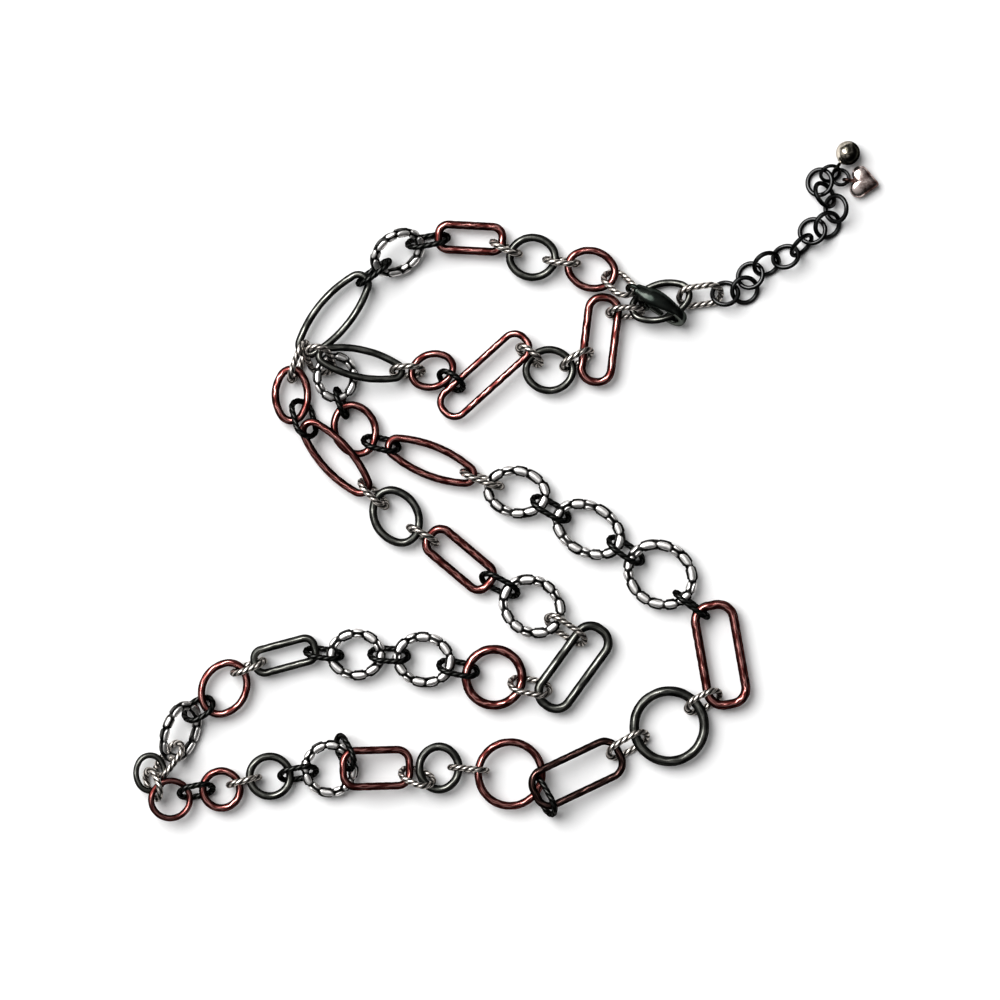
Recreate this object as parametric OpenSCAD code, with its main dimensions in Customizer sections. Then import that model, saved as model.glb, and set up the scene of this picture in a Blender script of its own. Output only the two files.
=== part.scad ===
// Statement necklace of mixed metal links, lying on a flat surface.
// Forty main links of antique copper, gunmetal and pebbled silver are joined by small ovals of
// twisted silver or dark wire, and closed by a lobster clasp. A short extender of dark rings ends
// in a ball charm and a puffed heart charm.
// Millimetres. +Z is up, the surface is z = 0, and the origin is under the middle of the lay.

/* [Connectors] */
// Thickness of the twisted silver wire
twist_wire = 1.4; // [1.3:0.05:1.4]
// Thickness of the dark connector wire
dark_wire = 1.3; // [1.2:0.05:1.3]
// Width of a connector, outside to outside
connector_w = 7.2; // [7.1:0.1:7.3]
// Clear space between two pieces that pass through each other
gap = 0.15; // [0.13:0.01:0.16]
// Height of a link above the strand of wire that carries it
ride = 0.35; // [0.3:0.01:0.36]

/* [Extender] */
// Outside diameter of an extender ring
ring_d = 7.5; // [7.4:0.1:7.5]
// Thickness of its wire
ring_wire = 1.05; // [0.95:0.05:1.05]
// Thickness of the wire of the two charm rings
charm_wire = 0.8; // [0.7:0.05:0.8]

/* [Clasp] */
// Thickness of the clasp
clasp_t = 2.6; // [2.5:0.1:2.7]
// Width of the bar that the hook is made of
hook_bar = 1.7; // [1.6:0.05:1.75]
// Clear space on each side of the lever
lever_gap = 0.15; // [0.12:0.01:0.2]

/* [Charms] */
// Diameter of the ball
ball_d = 6; // [5.8:0.1:6]
// Thickness of the puffed heart
heart_t = 3.2; // [2.6:0.1:3.4]

/* [Lay] */
// Place of the origin along the width of the lay, from the corner that the tables start at
lay_x = 126.5; // [120:0.1:134]
// Place of the origin along the depth of the lay
lay_y = 129.6; // [123:0.1:137]

/* [Hidden] */
// Facets of a curve, and runs in each arc of a centreline
$fn = 64;
samples = 12;
// Facets round the swelled parts: the clasp's back, and the heart's lobes and tip
back_facets = 20;
lobe_facets = 24;
tip_facets = 16;
// Shortest straight strand of a connector
shortest = 0.2;
copper = "#8c5d4f";
gunmetal = "#47484b";
silver = "#b4b0aa";
bronze = "#5d4338";

// Main links in order from the clasp. Places and outside sizes are in millimetres. Heading, pitch
// and roll are in degrees. Lift raises a link above the connectors that it lies on. Nose is the
// radius of the ends, as a share of half the width.
NAME = 0;
METAL = 1;
FORM = 2;
X = 3;
Y = 4;
HEADING = 5;
LENGTH = 6;
WIDTH = 7;
WIRE = 8;
NOSE = 9;
LIFT = 10;
PITCH = 11;
ROLL = 12;
LINKS = [
    ["link_01_copper_ring", copper, "oval", 147.8, 182.5, -17, 13.8, 11.2, 1.9, 0.8, 0, 0, 0],
    ["link_02_dark_ring", gunmetal, "oval", 133.1, 185.5, 0, 13.3, 11.9, 2, 0.85, 0, 0, 0],
    ["link_03_copper_box", copper, "box", 117.6, 190.3, -3, 18, 8.3, 2.05, 0.8, 0, 0, 0],
    ["link_04_pebble_oval", silver, "oval", 99.5, 186.6, 35, 15, 12.4, 2.5, 0.85, 1.7, 0, 33],
    ["link_05_dark_long_oval", gunmetal, "oval", 83.5, 171.2, 50.7, 26.3, 10.3, 1.9, 0.6, 0.4, -0.7, -1.7],
    ["link_06_copper_ring", copper, "oval", 73, 151.2, 90, 14.8, 10, 1.95, 0.75, 0, 0, 0],
    ["link_07_copper_long_oval", copper, "oval", 84.1, 135.6, -48, 24.3, 9.6, 1.95, 0.6, 1.2, -0.6, 13.8],
    ["link_08_dark_ring", gunmetal, "oval", 99.1, 120.9, -60, 15.9, 12.8, 2.05, 0.8, 0, 0, 0],
    ["link_09_copper_box", copper, "box", 114.9, 110.2, -40, 21.1, 9.1, 2.2, 0.8, 0, 0, 0],
    ["link_10_pebble_oval", silver, "oval", 133, 98.5, -35, 17.6, 15.3, 2.7, 0.88, 0, 0, 0],
    ["link_11_dark_paperclip", gunmetal, "box", 143.3, 83.3, 54, 25.5, 10.6, 2.3, 0.9, 0, 0, 0],
    ["link_12_copper_ring", copper, "oval", 123.5, 80.8, 0, 16.3, 16.3, 2.35, 1, 0, 0, 0],
    ["link_13_pebble_oval", silver, "oval", 106, 85.2, -15, 15.9, 13.9, 2.6, 0.88, 0, 0, 0],
    ["link_14_pebble_oval", silver, "oval", 89.1, 86.5, 0, 14.9, 13.1, 2.6, 0.88, 0, 0, 0],
    ["link_15_dark_box", gunmetal, "box", 71.3, 86.2, 15, 17.4, 7.9, 1.95, 0.8, 0, 0, 0],
    ["link_16_copper_ring", copper, "oval", 56.2, 78, 60, 15.4, 12.6, 1.9, 0.8, 0, 0, 0],
    ["link_17_pebble_oval", silver, "oval", 45.4, 67.3, 72, 16.2, 11.6, 2.5, 0.85, 1.2, 3, 40],
    ["link_18_dark_ring", gunmetal, "oval", 37.8, 56.9, 92, 10.4, 8.6, 1.5, 0.9, 0.8, -4, 10],
    ["link_19_copper_ring", copper, "oval", 42.9, 50.4, 0, 11.4, 11, 1.6, 0.95, 1.5, -14, 2],
    ["link_20_copper_ring", copper, "oval", 55.5, 52.8, 0, 11.2, 11.2, 1.95, 1, 0, 0, 0],
    ["link_21_dark_ring", gunmetal, "oval", 67.6, 56.1, 0, 12.1, 11.9, 2, 0.97, 0, 0, 0],
    ["link_22_pebble_ring", silver, "oval", 82.5, 58, 0, 14.5, 14.5, 2.5, 1, 0, -5, 4],
    ["link_23_copper_box", copper, "box", 94.2, 58.2, 1, 18.65, 10.95, 1.95, 0.7, 1.8, -10, -2],
    ["link_24_dark_ring", gunmetal, "oval", 109.8, 58.2, 90, 12.8, 11.9, 2.1, 0.9, 0.5, 0.8, 0],
    ["link_25_copper_ring", copper, "oval", 127.5, 56.7, 0, 17.9, 17.9, 2, 1, 0.4, -4, 0],
    ["link_26_bronze_box", bronze, "box", 144.2, 56.9, 25, 25.2, 11.3, 1.9, 0.75, 1.6, -6.5, 6],
    ["link_27_dark_ring", gunmetal, "oval", 167.2, 68.6, 0, 20, 20, 2.5, 1, 0, 0, 0],
    ["link_28_copper_box", copper, "box", 180, 86.4, 100, 27.4, 12, 2.35, 0.8, 0, 0, 0],
    ["link_29_pebble_oval", silver, "oval", 165, 106.4, -35, 19.5, 17, 2.75, 0.88, 0, 0, 0],
    ["link_30_pebble_oval", silver, "oval", 147.1, 117.7, -28, 19.5, 14.1, 2.7, 0.75, 0, 0, 0],
    ["link_31_pebble_oval", silver, "oval", 129.2, 127, -10, 17, 13.2, 2.6, 0.8, 0, 0, 0],
    ["link_32_copper_long_oval", copper, "oval", 107.8, 134.8, -22, 24.6, 9.3, 1.95, 0.6, 0, 0, 0],
    ["link_33_copper_ring", copper, "oval", 88.8, 142.6, 110, 14.4, 12, 1.9, 0.8, 0, 0, 0],
    ["link_34_pebble_ring", silver, "oval", 84, 155.6, 89.5, 12.8, 11.6, 2.3, 0.9, 0.4, -3, 12.7],
    ["link_35_dark_long_oval", gunmetal, "oval", 90.2, 159, -12.2, 23, 8.8, 1.85, 0.55, 2.2, -6.6, -11.2],
    ["link_36_copper_ring", copper, "oval", 108.1, 157.3, 20, 12.4, 10, 1.85, 0.8, 0, 0, 0],
    ["link_37_copper_paperclip", copper, "box", 121.2, 156.1, 42, 28.8, 8.8, 1.8, 0.9, 0.9, 2, -6],
    ["link_38_dark_ring", gunmetal, "oval", 137.3, 157.4, 0, 13.5, 12.1, 1.9, 0.85, 0, 0, 0],
    ["link_39_copper_paperclip", copper, "box", 149.9, 165, 83, 23.3, 9.5, 2.1, 0.9, 0, 0, 0],
    ["link_40_clasp_ring", gunmetal, "oval", 165.1, 174.5, 20.3, 16.5, 11, 1.75, 0.7, 0.3, 0.8, -19.4],
];

TWISTED = 0;
DARK = 1;

// Connectors that lie where two links meet. Each joins main link "from" to the next one, where they
// pass nearest to its place. Lean turns it down from upright, turn swings it about its middle, and
// slack makes it longer.
C_NODE = 0;
C_KIND = 1;
C_FROM = 2;
C_X = 3;
C_Y = 4;
C_LEAN = 5;
C_TURN = 6;
C_SLACK = 7;
CONNECTORS = [
    ["twisted_connectors_1", TWISTED, 1, 140.1, 184.6, 10, 0, 0.3],
    ["twisted_connectors_1", TWISTED, 2, 126.3, 188, 10, 0, 0.3],
    ["dark_connectors_1", DARK, 3, 107.8, 190.2, 25, 0, 0.3],
    ["dark_connectors_1", DARK, 4, 93.4, 181.4, 15, 0, 0.7],
    ["twisted_connectors_2", TWISTED, 8, 105.7, 116.6, 10, 0, 0.3],
    ["dark_connectors_2", DARK, 9, 125, 103.8, 30, 0, 0.3],
    ["twisted_connectors_3", TWISTED, 10, 141.6, 92.6, 30, 0, 0.3],
    ["twisted_connectors_3", TWISTED, 11, 132.6, 78.4, 35, 0, 0.3],
    ["dark_connectors_2", DARK, 12, 114.5, 83, 30, 0, 0.3],
    ["dark_connectors_2", DARK, 13, 97.3, 86.4, 30, 0, 0.3],
    ["dark_connectors_2", DARK, 14, 80.8, 86.8, 20, 0, 0.4],
    ["twisted_connectors_4", TWISTED, 15, 62.2, 83.6, 10, 0, 0.5],
    ["dark_connectors_3", DARK, 19, 49.8, 52.8, 30, 0, 0.5],
    ["twisted_connectors_5", TWISTED, 20, 61.1, 54.9, 5, 0, 0.3],
    ["dark_connectors_3", DARK, 21, 74.4, 56.6, 30, 0, 0.3],
    ["twisted_connectors_5", TWISTED, 24, 117.1, 58, 5, 0, 0.3],
    ["twisted_connectors_6", TWISTED, 26, 157.2, 63.8, 35, 0, 0.3],
    ["twisted_connectors_6", TWISTED, 27, 176.4, 75.2, 35, 0, 0.3],
    ["dark_connectors_4", DARK, 28, 173, 98.5, 8, 0, 0.4],
    ["dark_connectors_4", DARK, 29, 155.8, 113.4, 30, 0, 0.3],
    ["dark_connectors_5", DARK, 30, 137.8, 123, 30, 0, 0.3],
    ["twisted_connectors_7", TWISTED, 31, 120.5, 130.5, 10, 0, 1.4],
    ["dark_connectors_5", DARK, 32, 95.1, 139.2, 28, 0, 0.6],
    ["dark_connectors_5", DARK, 33, 85.1, 149.5, 10, 0, 0.5],
    ["twisted_connectors_8", TWISTED, 35, 102.3, 157.2, 22, 0, 0.9],
    ["dark_connectors_5", DARK, 36, 112.5, 155.2, 30, 0, 0.3],
    ["twisted_connectors_8", TWISTED, 37, 132, 161.6, 20, 0, 1],
    ["twisted_connectors_9", TWISTED, 38, 144, 160.6, 20, 10, 0.3],
    ["twisted_connectors_9", TWISTED, 39, 155.8, 171.4, 20, 0, 0.4],
];

// Connectors that lie across links stacked on each other: place of the middle, heading, lean down
// from upright, pitch and length of the straight strands
S_NODE = 0;
S_KIND = 1;
S_X = 2;
S_Y = 3;
S_Z = 4;
S_HEADING = 5;
S_LEAN = 6;
S_PITCH = 7;
S_STRAIGHT = 8;
STACKED = [
    ["twisted_connectors_2", TWISTED, 74.8, 159.5, 3.85, -110.5, -14.5, -8.7, 4.4],
    ["dark_connectors_1", DARK, 76.1, 145.3, 3.7, -75, -48.7, 24.8, 4.2],
    ["twisted_connectors_2", TWISTED, 93.5, 126.5, 3.5, -44.8, -16.6, 0, 3.2],
    ["dark_connectors_3", DARK, 49.8, 72.9, 2.8, 212, 45, 4, 1.9],
    ["twisted_connectors_4", TWISTED, 42.4, 60.4, 3.3, 233, 35, 1, 3.8],
    ["twisted_connectors_4", TWISTED, 38.5, 54.1, 3.7, -59, 35, 29, 2],
    ["dark_connectors_3", DARK, 86.4, 62.1, 4.3, -58, 35, 35, 3.5],
    ["twisted_connectors_5", TWISTED, 104.3, 56, 3.7, -24.8, -34.2, 22.2, 2.7],
    ["dark_connectors_4", DARK, 135.9, 51.2, 3.9, -60, 28, 13, 4.2],
    ["twisted_connectors_7", TWISTED, 80.1, 159.9, 5.2, 112.6, -69.3, 45.3, 3.8],
    ["twisted_connectors_9", TWISTED, 174.9, 176, 3.1, 8, 50, 0.3, 4.7],
    ["twisted_connectors_1", TWISTED, 154.7, 178.9, 4, -46.2, -52.4, 33.5, 3.4],
];
CONNECTOR_NODES = concat([for (i = [1:9]) str("twisted_connectors_", i)],
                         [for (i = [1:5]) str("dark_connectors_", i)]);

// Rings of the extender in order from the necklace, then the two charm rings. Roll turns each about
// the run of the chain.
R_NODE = 0;
R_X = 1;
R_Y = 2;
R_SIZE = 3;
R_WIRE = 4;
R_ROLL = 5;
R_LIFT = 6;
RINGS = [
    ["extender_rings", 181.2, 176.5, ring_d, ring_wire, -30, 0],
    ["extender_rings", 186.1, 177.4, ring_d, ring_wire, 20, 0],
    ["extender_rings", 187.5, 181, ring_d, ring_wire, -26, 0],
    ["extender_rings", 191.5, 183.9, ring_d, ring_wire, 41, 0],
    ["extender_rings", 196.3, 185.7, ring_d, ring_wire, -36, 0],
    ["extender_rings", 200.2, 188.5, ring_d, ring_wire, 65, 0],
    ["extender_rings", 203, 192.1, ring_d, ring_wire, -25, 0],
    ["extender_rings", 206.7, 193.6, ring_d, ring_wire, 30, 0],
    ["extender_rings", 208.8, 197.7, ring_d, ring_wire, -40, 0],
    ["extender_rings", 206, 201.1, ring_d, ring_wire, 50, 0],
    ["extender_rings", 204.8, 204.3, ring_d, ring_wire, -26, 0],
    ["charm_rings", 207.4, 206.5, 5.6, charm_wire, 43, 0],
    ["charm_rings", 210, 205.6, 5, charm_wire, -22, 0.25],
];

// Charms: place of the loop, and heading from the loop to the charm
LOOP_BEND = 1.1;
BALL_LOOP = [208.95, 207.9, 3];
BALL_HEADING = 52;
HEART_LOOP = [211.9, 204.85, 1.6];
HEART_HEADING = -8;
// Along a charm from the middle of its loop: the ball's cap and surface, and the heart's neck
cap_x = 1.55;
ball_x = 1.6;
cap_end = 1.95;
neck_x = 1.2;
neck_end = 3.2;
// Thickness of the ball's stem, of its cap and of the heart's neck
stem_d = 0.7;
cap_d = 1.8;
neck_d = 1.2;
// Lobes of the heart: place of one, and diameter. Tip: distance and diameter
LOBE = [2.8, 1.9];
lobe_d = 4.2;
tip_x = 7;
tip_d = 1.4;
tip_flat = 0.8;

// Clasp: place of the eye, and its turn
CLASP_EYE = [158.6, 177, 5.4];
CLASP_ANGLES = [-114.9, 4.1, -31.7];
eye_bend = 2;
eye_wire = 1.2;
// Centreline of the hook: middle, half length, half width and end radius of the oval
hook_x = 8.2;
hook_a = 5.6;
hook_b = 2.9;
hook_r = 2.3;
// Angles where the hook leaves the neck, where its nose ends and where the lever's arm starts and ends
hook_start = 255;
nose_end = 82.6;
arm_start = 85;
arm_end = 106.6;
// Places down the clasp's full back from the eye: X, Y, half width and half thickness
BACK = [[2.8, -0.3, 1.3, 1.7], [4.9, -1.9, 1.6, 2.4], [7.8, -2.9, 1.15, 2], [10.8, -2.7, 0.9, 1.4]];
// Outline of the neck, and the hollow of the hook that cuts into it
NECK = [[1.8, -1.1], [1.8, 1.1], [3, 2.9], [4.3, 3.5], [5.2, 3.6], [5.2, -1.5], [2.6, -1.2]];
hollow_x = 5.6;
// Slot for the root of the lever: its corner, its length and its thickness
SLOT = [2.5, 0.75];
slot_l = 4;
slot_t = 1.6;
// Pin of the lever, radius of the lever's root, width of its arm, and the tab for the thumb
PIN = [4, 2.1];
pin_d = 0.8;
lever_root = 1.15;
lever_bar = 1.3;
TAB = [3.7, 3.5];
tab_r = 0.6;

// Turn about each axis, as matrices
function turn_x(a) = [[1, 0, 0], [0, cos(a), -sin(a)], [0, sin(a), cos(a)]];
function turn_y(a) = [[cos(a), 0, sin(a)], [0, 1, 0], [-sin(a), 0, cos(a)]];
function turn_z(a) = [[cos(a), -sin(a), 0], [sin(a), cos(a), 0], [0, 0, 1]];
function turned(angles) = turn_z(angles[2]) * turn_y(angles[1]) * turn_x(angles[0]);

// A place in the tables, seen from the origin
function laid(x, y, z) = [x - lay_x, y - lay_y, z];

// Points of an arc and of a straight run, in the plane of a link
function arc_points(centre, radius, from, to) =
    [for (i = [0:samples]) centre + radius * [cos(from + (to - from) * i / samples),
                                              sin(from + (to - from) * i / samples)]];
function line_points(p, q) = [for (i = [1:samples - 1]) p + (q - p) * i / samples];

// Half angle that the end arc of an oval covers, from its half length, half width and end radius.
// It is a whole number of hundredths of a degree, so that the arcs meet exactly in the STEP file
function end_angle(a, b, r) = round(100 * (90 - 2 * atan2(b - r, a - r))) / 100;
// Radius of an end arc that has this angle, and of the long arcs that meet it
function exact_radius(a, b, r) = let (k = tan(45 - end_angle(a, b, r) / 2)) (b - k * a) / (1 - k);
function side_radius(a, b, r) =
    let (tight = exact_radius(a, b, r))
    tight + (a - tight) / cos(end_angle(a, b, r));

function half_length(link) = (link[LENGTH] - link[WIRE]) / 2;
function half_width(link) = (link[WIDTH] - link[WIRE]) / 2;
function end_radius(link) = half_width(link) * link[NOSE];
function is_round(link) = link[LENGTH] == link[WIDTH];

// Where a main link lies
function rest_height(link) = twist_wire + ride + link[WIRE] / 2 + link[LIFT];
function link_middle(link) = laid(link[X], link[Y], rest_height(link));
function link_angles(link) = [link[ROLL], -link[PITCH], link[HEADING]];

// Centreline of a main link
function round_points(a) = concat(arc_points([0, 0], a, 0, 90), arc_points([0, 0], a, 90, 180),
                                  arc_points([0, 0], a, 180, 270), arc_points([0, 0], a, 270, 360));
function oval_points(a, b, r) =
    let (side = side_radius(a, b, r), e = end_angle(a, b, r))
    concat(arc_points([a - r, 0], r, -e, e), arc_points([0, b - side], side, e, 180 - e),
           arc_points([r - a, 0], r, 180 - e, 180 + e), arc_points([0, side - b], side, 180 + e, 360 - e));
function box_points(a, b, r) =
    concat(arc_points([a - r, b - r], r, 0, 90), line_points([a - r, b], [r - a, b]),
           arc_points([r - a, b - r], r, 90, 180), line_points([-a, b - r], [-a, r - b]),
           arc_points([r - a, r - b], r, 180, 270), line_points([r - a, -b], [a - r, -b]),
           arc_points([a - r, r - b], r, 270, 360), line_points([a, r - b], [a, b - r]));
function link_points(link) =
    let (a = half_length(link), b = half_width(link), r = end_radius(link), turn = turned(link_angles(link)),
         drawn_oval = link[FORM] == "oval",
         flat = is_round(link) ? round_points(a) : drawn_oval ? oval_points(a, b, r) : box_points(a, b, r))
    [for (p = flat) link_middle(link) + turn * [p[0], p[1], 0]];

// Point of a list that is nearest in plan to a place
function nearest(points, place) =
    let (far = [for (p = points) norm([p[0] - place[0], p[1] - place[1]])], least = min(far))
    [for (i = [0:len(points) - 1]) if (far[i] == least) points[i]][0];

// A connector holds the wires of its two links. Tuck is how far a wire may lie past the middle of
// an end bend and still be clear of it
function wire_of(kind) = kind == TWISTED ? twist_wire : dark_wire;
function bend_of(kind) = (connector_w - wire_of(kind)) / 2;
function link_from(row) = LINKS[row[C_FROM] - 1];
function link_to(row) = LINKS[row[C_FROM]];
function hold(row, link) = nearest(link_points(link), laid(row[C_X], row[C_Y], 0));
function rise(row) = wire_of(row[C_KIND]) / 2 + bend_of(row[C_KIND]) * cos(row[C_LEAN]);
function tuck(row, link) =
    let (room = bend_of(row[C_KIND]) * cos(row[C_LEAN]) - (link[WIRE] + wire_of(row[C_KIND])) / 2 - gap,
         off = hold(row, link)[2] - rise(row))
    sqrt(max(0, room * room - off * off));
function run(row) = hold(row, link_to(row)) - hold(row, link_from(row));
function span(row) = norm([run(row)[0], run(row)[1]]);
function straight(row) =
    let (needed = span(row) - tuck(row, link_from(row)) - tuck(row, link_to(row)) + row[C_SLACK])
    round(100 * max(shortest, needed)) / 100;
function connector_angles(row) = [90 - row[C_LEAN], 0, atan2(run(row)[1], run(row)[0]) + row[C_TURN]];
function connector_middle(row) =
    let (shift = (tuck(row, link_from(row)) - tuck(row, link_to(row))) / 2,
         middle = (hold(row, link_from(row)) + hold(row, link_to(row))) / 2 + run(row) * shift / span(row))
    [middle[0], middle[1], rise(row)];

// Where a ring lies. It is turned along the line between its neighbours
function ring_bend(i) = (RINGS[i][R_SIZE] - RINGS[i][R_WIRE]) / 2;
function ring_heading(i) =
    let (last = len(RINGS) - 1, p = RINGS[max(i - 1, 0)], q = RINGS[min(i + 1, last)])
    atan2(q[R_Y] - p[R_Y], q[R_X] - p[R_X]);
function ring_angles(i) = [RINGS[i][R_ROLL], 0, ring_heading(i)];
function ring_height(i) = RINGS[i][R_WIRE] / 2 + ring_bend(i) * abs(sin(RINGS[i][R_ROLL])) + RINGS[i][R_LIFT];
function ring_middle(i) = laid(RINGS[i][R_X], RINGS[i][R_Y], ring_height(i));

// Wire bent to an arc about the origin, in the XY plane
module arc_wire(radius, wire, from, to) {
    rotate([0, 0, from])
        rotate_extrude(angle = to - from)
            translate([radius, 0]) circle(d = wire);
}

// Straight wire along X from one place to another
module straight_wire(x_from, x_to, wire) {
    translate([x_from, 0, 0]) rotate([0, 90, 0]) cylinder(d = wire, h = x_to - x_from);
}

// Round ring of wire
module round_loop(radius, wire) {
    rotate_extrude() translate([radius, 0]) circle(d = wire);
}

// Moves by a long number in two steps, because a number in a CSG file keeps six digits
module slide(x, y) {
    translate([round(100 * x) / 100, round(100 * y) / 100])
        translate([x - round(100 * x) / 100, y - round(100 * y) / 100])
            children();
}

// Wire bent to an arc that starts on the X axis
module part_arc(radius, wire, angle) {
    rotate_extrude(angle = angle)
        slide(radius, 0) circle(d = wire);
}

// Oval link made of four arcs, each in two halves
module oval_loop(a, b, r, wire) {
    tight = exact_radius(a, b, r);
    side = side_radius(a, b, r);
    e = end_angle(a, b, r);
    for (turn = [[0, 0, 0], [180, 0, 0], [0, 180, 0], [0, 0, 180]])
        rotate(turn) {
            slide(a - tight, 0) part_arc(tight, wire, e);
            slide(0, b - side) rotate([180, 0, 90]) part_arc(side, wire, 90 - e);
        }
}

// Box link: straight sides and ends with round corners
module box_loop(a, b, r, wire) {
    for (turn = [0, 180])
        rotate([0, 0, turn]) {
            translate([a - r, b - r, 0]) arc_wire(r, wire, 0, 90);
            translate([a - r, r - b, 0]) arc_wire(r, wire, -90, 0);
            translate([0, b, 0]) straight_wire(r - a, a - r, wire);
            translate([a, 0, 0]) rotate([0, 0, 90]) straight_wire(r - b, b - r, wire);
        }
}

// Connector: two straight strands and two round ends
module connector_loop(length, bend, wire) {
    for (turn = [0, 180])
        rotate([0, 0, turn]) {
            translate([length / 2, 0, 0]) arc_wire(bend, wire, -90, 90);
            translate([0, bend, 0]) straight_wire(-length / 2, length / 2, wire);
        }
}

// One main link where it lies
module main_link(link) {
    a = half_length(link);
    b = half_width(link);
    color(link[METAL])
        translate(link_middle(link)) rotate(link_angles(link)) {
            if (is_round(link)) round_loop(a, link[WIRE]);
            else if (link[FORM] == "oval") oval_loop(a, b, end_radius(link), link[WIRE]);
            else box_loop(a, b, end_radius(link), link[WIRE]);
        }
}

// The connectors of one node
module connectors(name) {
    for (row = CONNECTORS)
        if (row[C_NODE] == name)
            color(row[C_KIND] == TWISTED ? silver : gunmetal)
                translate(connector_middle(row)) rotate(connector_angles(row))
                    connector_loop(straight(row), bend_of(row[C_KIND]), wire_of(row[C_KIND]));
    for (row = STACKED)
        if (row[S_NODE] == name)
            color(row[S_KIND] == TWISTED ? silver : gunmetal)
                translate(laid(row[S_X], row[S_Y], row[S_Z]))
                    rotate([90 - row[S_LEAN], -row[S_PITCH], row[S_HEADING]])
                        connector_loop(row[S_STRAIGHT], bend_of(row[S_KIND]), wire_of(row[S_KIND]));
}

// The loose rings of one node
module rings(name) {
    for (i = [0:len(RINGS) - 1])
        if (RINGS[i][R_NODE] == name)
            color(gunmetal)
                translate(ring_middle(i)) rotate(ring_angles(i)) round_loop(ring_bend(i), RINGS[i][R_WIRE]);
}

// Bar with bevelled edges, bent to an arc about the origin
module arc_bar(radius, w, t, from, to) {
    bevel = w * 0.25;
    rotate([0, 0, from])
        rotate_extrude(angle = to - from)
            translate([radius, 0])
                polygon([[-w / 2, bevel - t / 2], [-w / 2, t / 2 - bevel], [bevel - w / 2, t / 2],
                         [w / 2 - bevel, t / 2], [w / 2, t / 2 - bevel], [w / 2, bevel - t / 2],
                         [w / 2 - bevel, -t / 2], [bevel - w / 2, -t / 2]]);
}

// Places a part of the clasp. It is drawn along X from the eye, with its lever on +Y
module clasp_place() {
    translate(laid(CLASP_EYE[0], CLASP_EYE[1], CLASP_EYE[2])) rotate(CLASP_ANGLES) children();
}

// Back of the clasp, that swells from the eye and tapers along the hook
module clasp_back() {
    for (i = [0:len(BACK) - 2])
        hull()
            for (p = [BACK[i], BACK[i + 1]])
                translate([p[0], p[1], 0]) scale([p[2], p[2], p[3]]) sphere(r = 1, $fn = back_facets);
}

// Neck of the clasp, that holds the lever on its pin
module clasp_neck() {
    difference() {
        translate([0, 0, -clasp_t / 2])
            linear_extrude(clasp_t)
                polygon(NECK);
        translate([hollow_x, 0, -clasp_t]) cylinder(r = hook_b - hook_bar / 2, h = 2 * clasp_t);
        translate([SLOT[0], SLOT[1], -slot_t / 2]) cube([slot_l, slot_l, slot_t]);
    }
    translate([PIN[0], PIN[1], -clasp_t / 2]) cylinder(d = pin_d, h = clasp_t);
}

module clasp_body() {
    side = side_radius(hook_a, hook_b, hook_r);
    e = end_angle(hook_a, hook_b, hook_r);
    color(gunmetal)
        clasp_place() {
            round_loop(eye_bend, eye_wire);
            clasp_neck();
            clasp_back();
            translate([hook_x, 0, 0]) {
                translate([0, side - hook_b, 0]) arc_bar(side, hook_bar, clasp_t, hook_start, 360 - e);
                translate([hook_a - hook_r, 0, 0]) arc_bar(hook_r, hook_bar, clasp_t, -e, e);
                translate([0, hook_b - side, 0]) arc_bar(side, hook_bar, clasp_t, e, nose_end);
            }
        }
}

module clasp_lever() {
    side = side_radius(hook_a, hook_b, hook_r);
    lever_t = slot_t - 2 * lever_gap;
    color(gunmetal)
        clasp_place() {
            translate([hook_x, hook_b - side, 0]) arc_bar(side, lever_bar, lever_t, arm_start, arm_end);
            difference() {
                union() {
                    translate([PIN[0], PIN[1], -lever_t / 2]) cylinder(r = lever_root, h = lever_t);
                    translate([TAB[0], TAB[1], -lever_t / 2]) cylinder(r = tab_r, h = lever_t);
                }
                translate([PIN[0], PIN[1], -clasp_t]) cylinder(d = pin_d + 2 * lever_gap, h = 2 * clasp_t);
            }
        }
}

// Polished ball with a short cap and a loop
module ball_charm() {
    color(gunmetal)
        translate(laid(BALL_LOOP[0], BALL_LOOP[1], BALL_LOOP[2])) rotate([0, 0, BALL_HEADING]) {
            rotate([90, 0, 0]) round_loop(LOOP_BEND, charm_wire);
            straight_wire(LOOP_BEND, cap_end, stem_d);
            straight_wire(cap_x, cap_end, cap_d);
            translate([ball_x + ball_d / 2, 0, 0]) sphere(d = ball_d);
        }
}

// Puffed heart with a loop in its cleft and a plain face
module heart_charm() {
    color(gunmetal)
        translate(laid(HEART_LOOP[0], HEART_LOOP[1], HEART_LOOP[2])) rotate([0, 0, HEART_HEADING]) {
            rotate([90, 0, 0]) round_loop(LOOP_BEND, charm_wire);
            straight_wire(neck_x, neck_end, neck_d);
            for (sign = [-1, 1])
                hull() {
                    translate([LOBE[0], sign * LOBE[1], 0])
                        scale([1, 1, heart_t / lobe_d]) sphere(d = lobe_d, $fn = lobe_facets);
                    translate([tip_x, 0, 0])
                        scale([1, 1, tip_flat]) sphere(d = tip_d, $fn = tip_facets);
                }
        }
}

for (link = LINKS) main_link(link);
for (name = CONNECTOR_NODES) connectors(name);
clasp_body();
clasp_lever();
rings("extender_rings");  // extender_rings
rings("charm_rings");  // charm_rings
ball_charm();
heart_charm();
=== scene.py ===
"""Dresses the statement necklace and sets up its picture.

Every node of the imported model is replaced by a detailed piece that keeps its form: forged copper,
bronze and gunmetal, pebbled silver, twisted wire, a lobster clasp, extender rings and two charms.
The tables are in millimetres and repeat the places that the part's source gives.
"""
import logging
import math
import random
from dataclasses import dataclass, field
from enum import Enum
from typing import Callable

import bmesh
import bpy
from mathutils import Matrix, Vector


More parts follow.
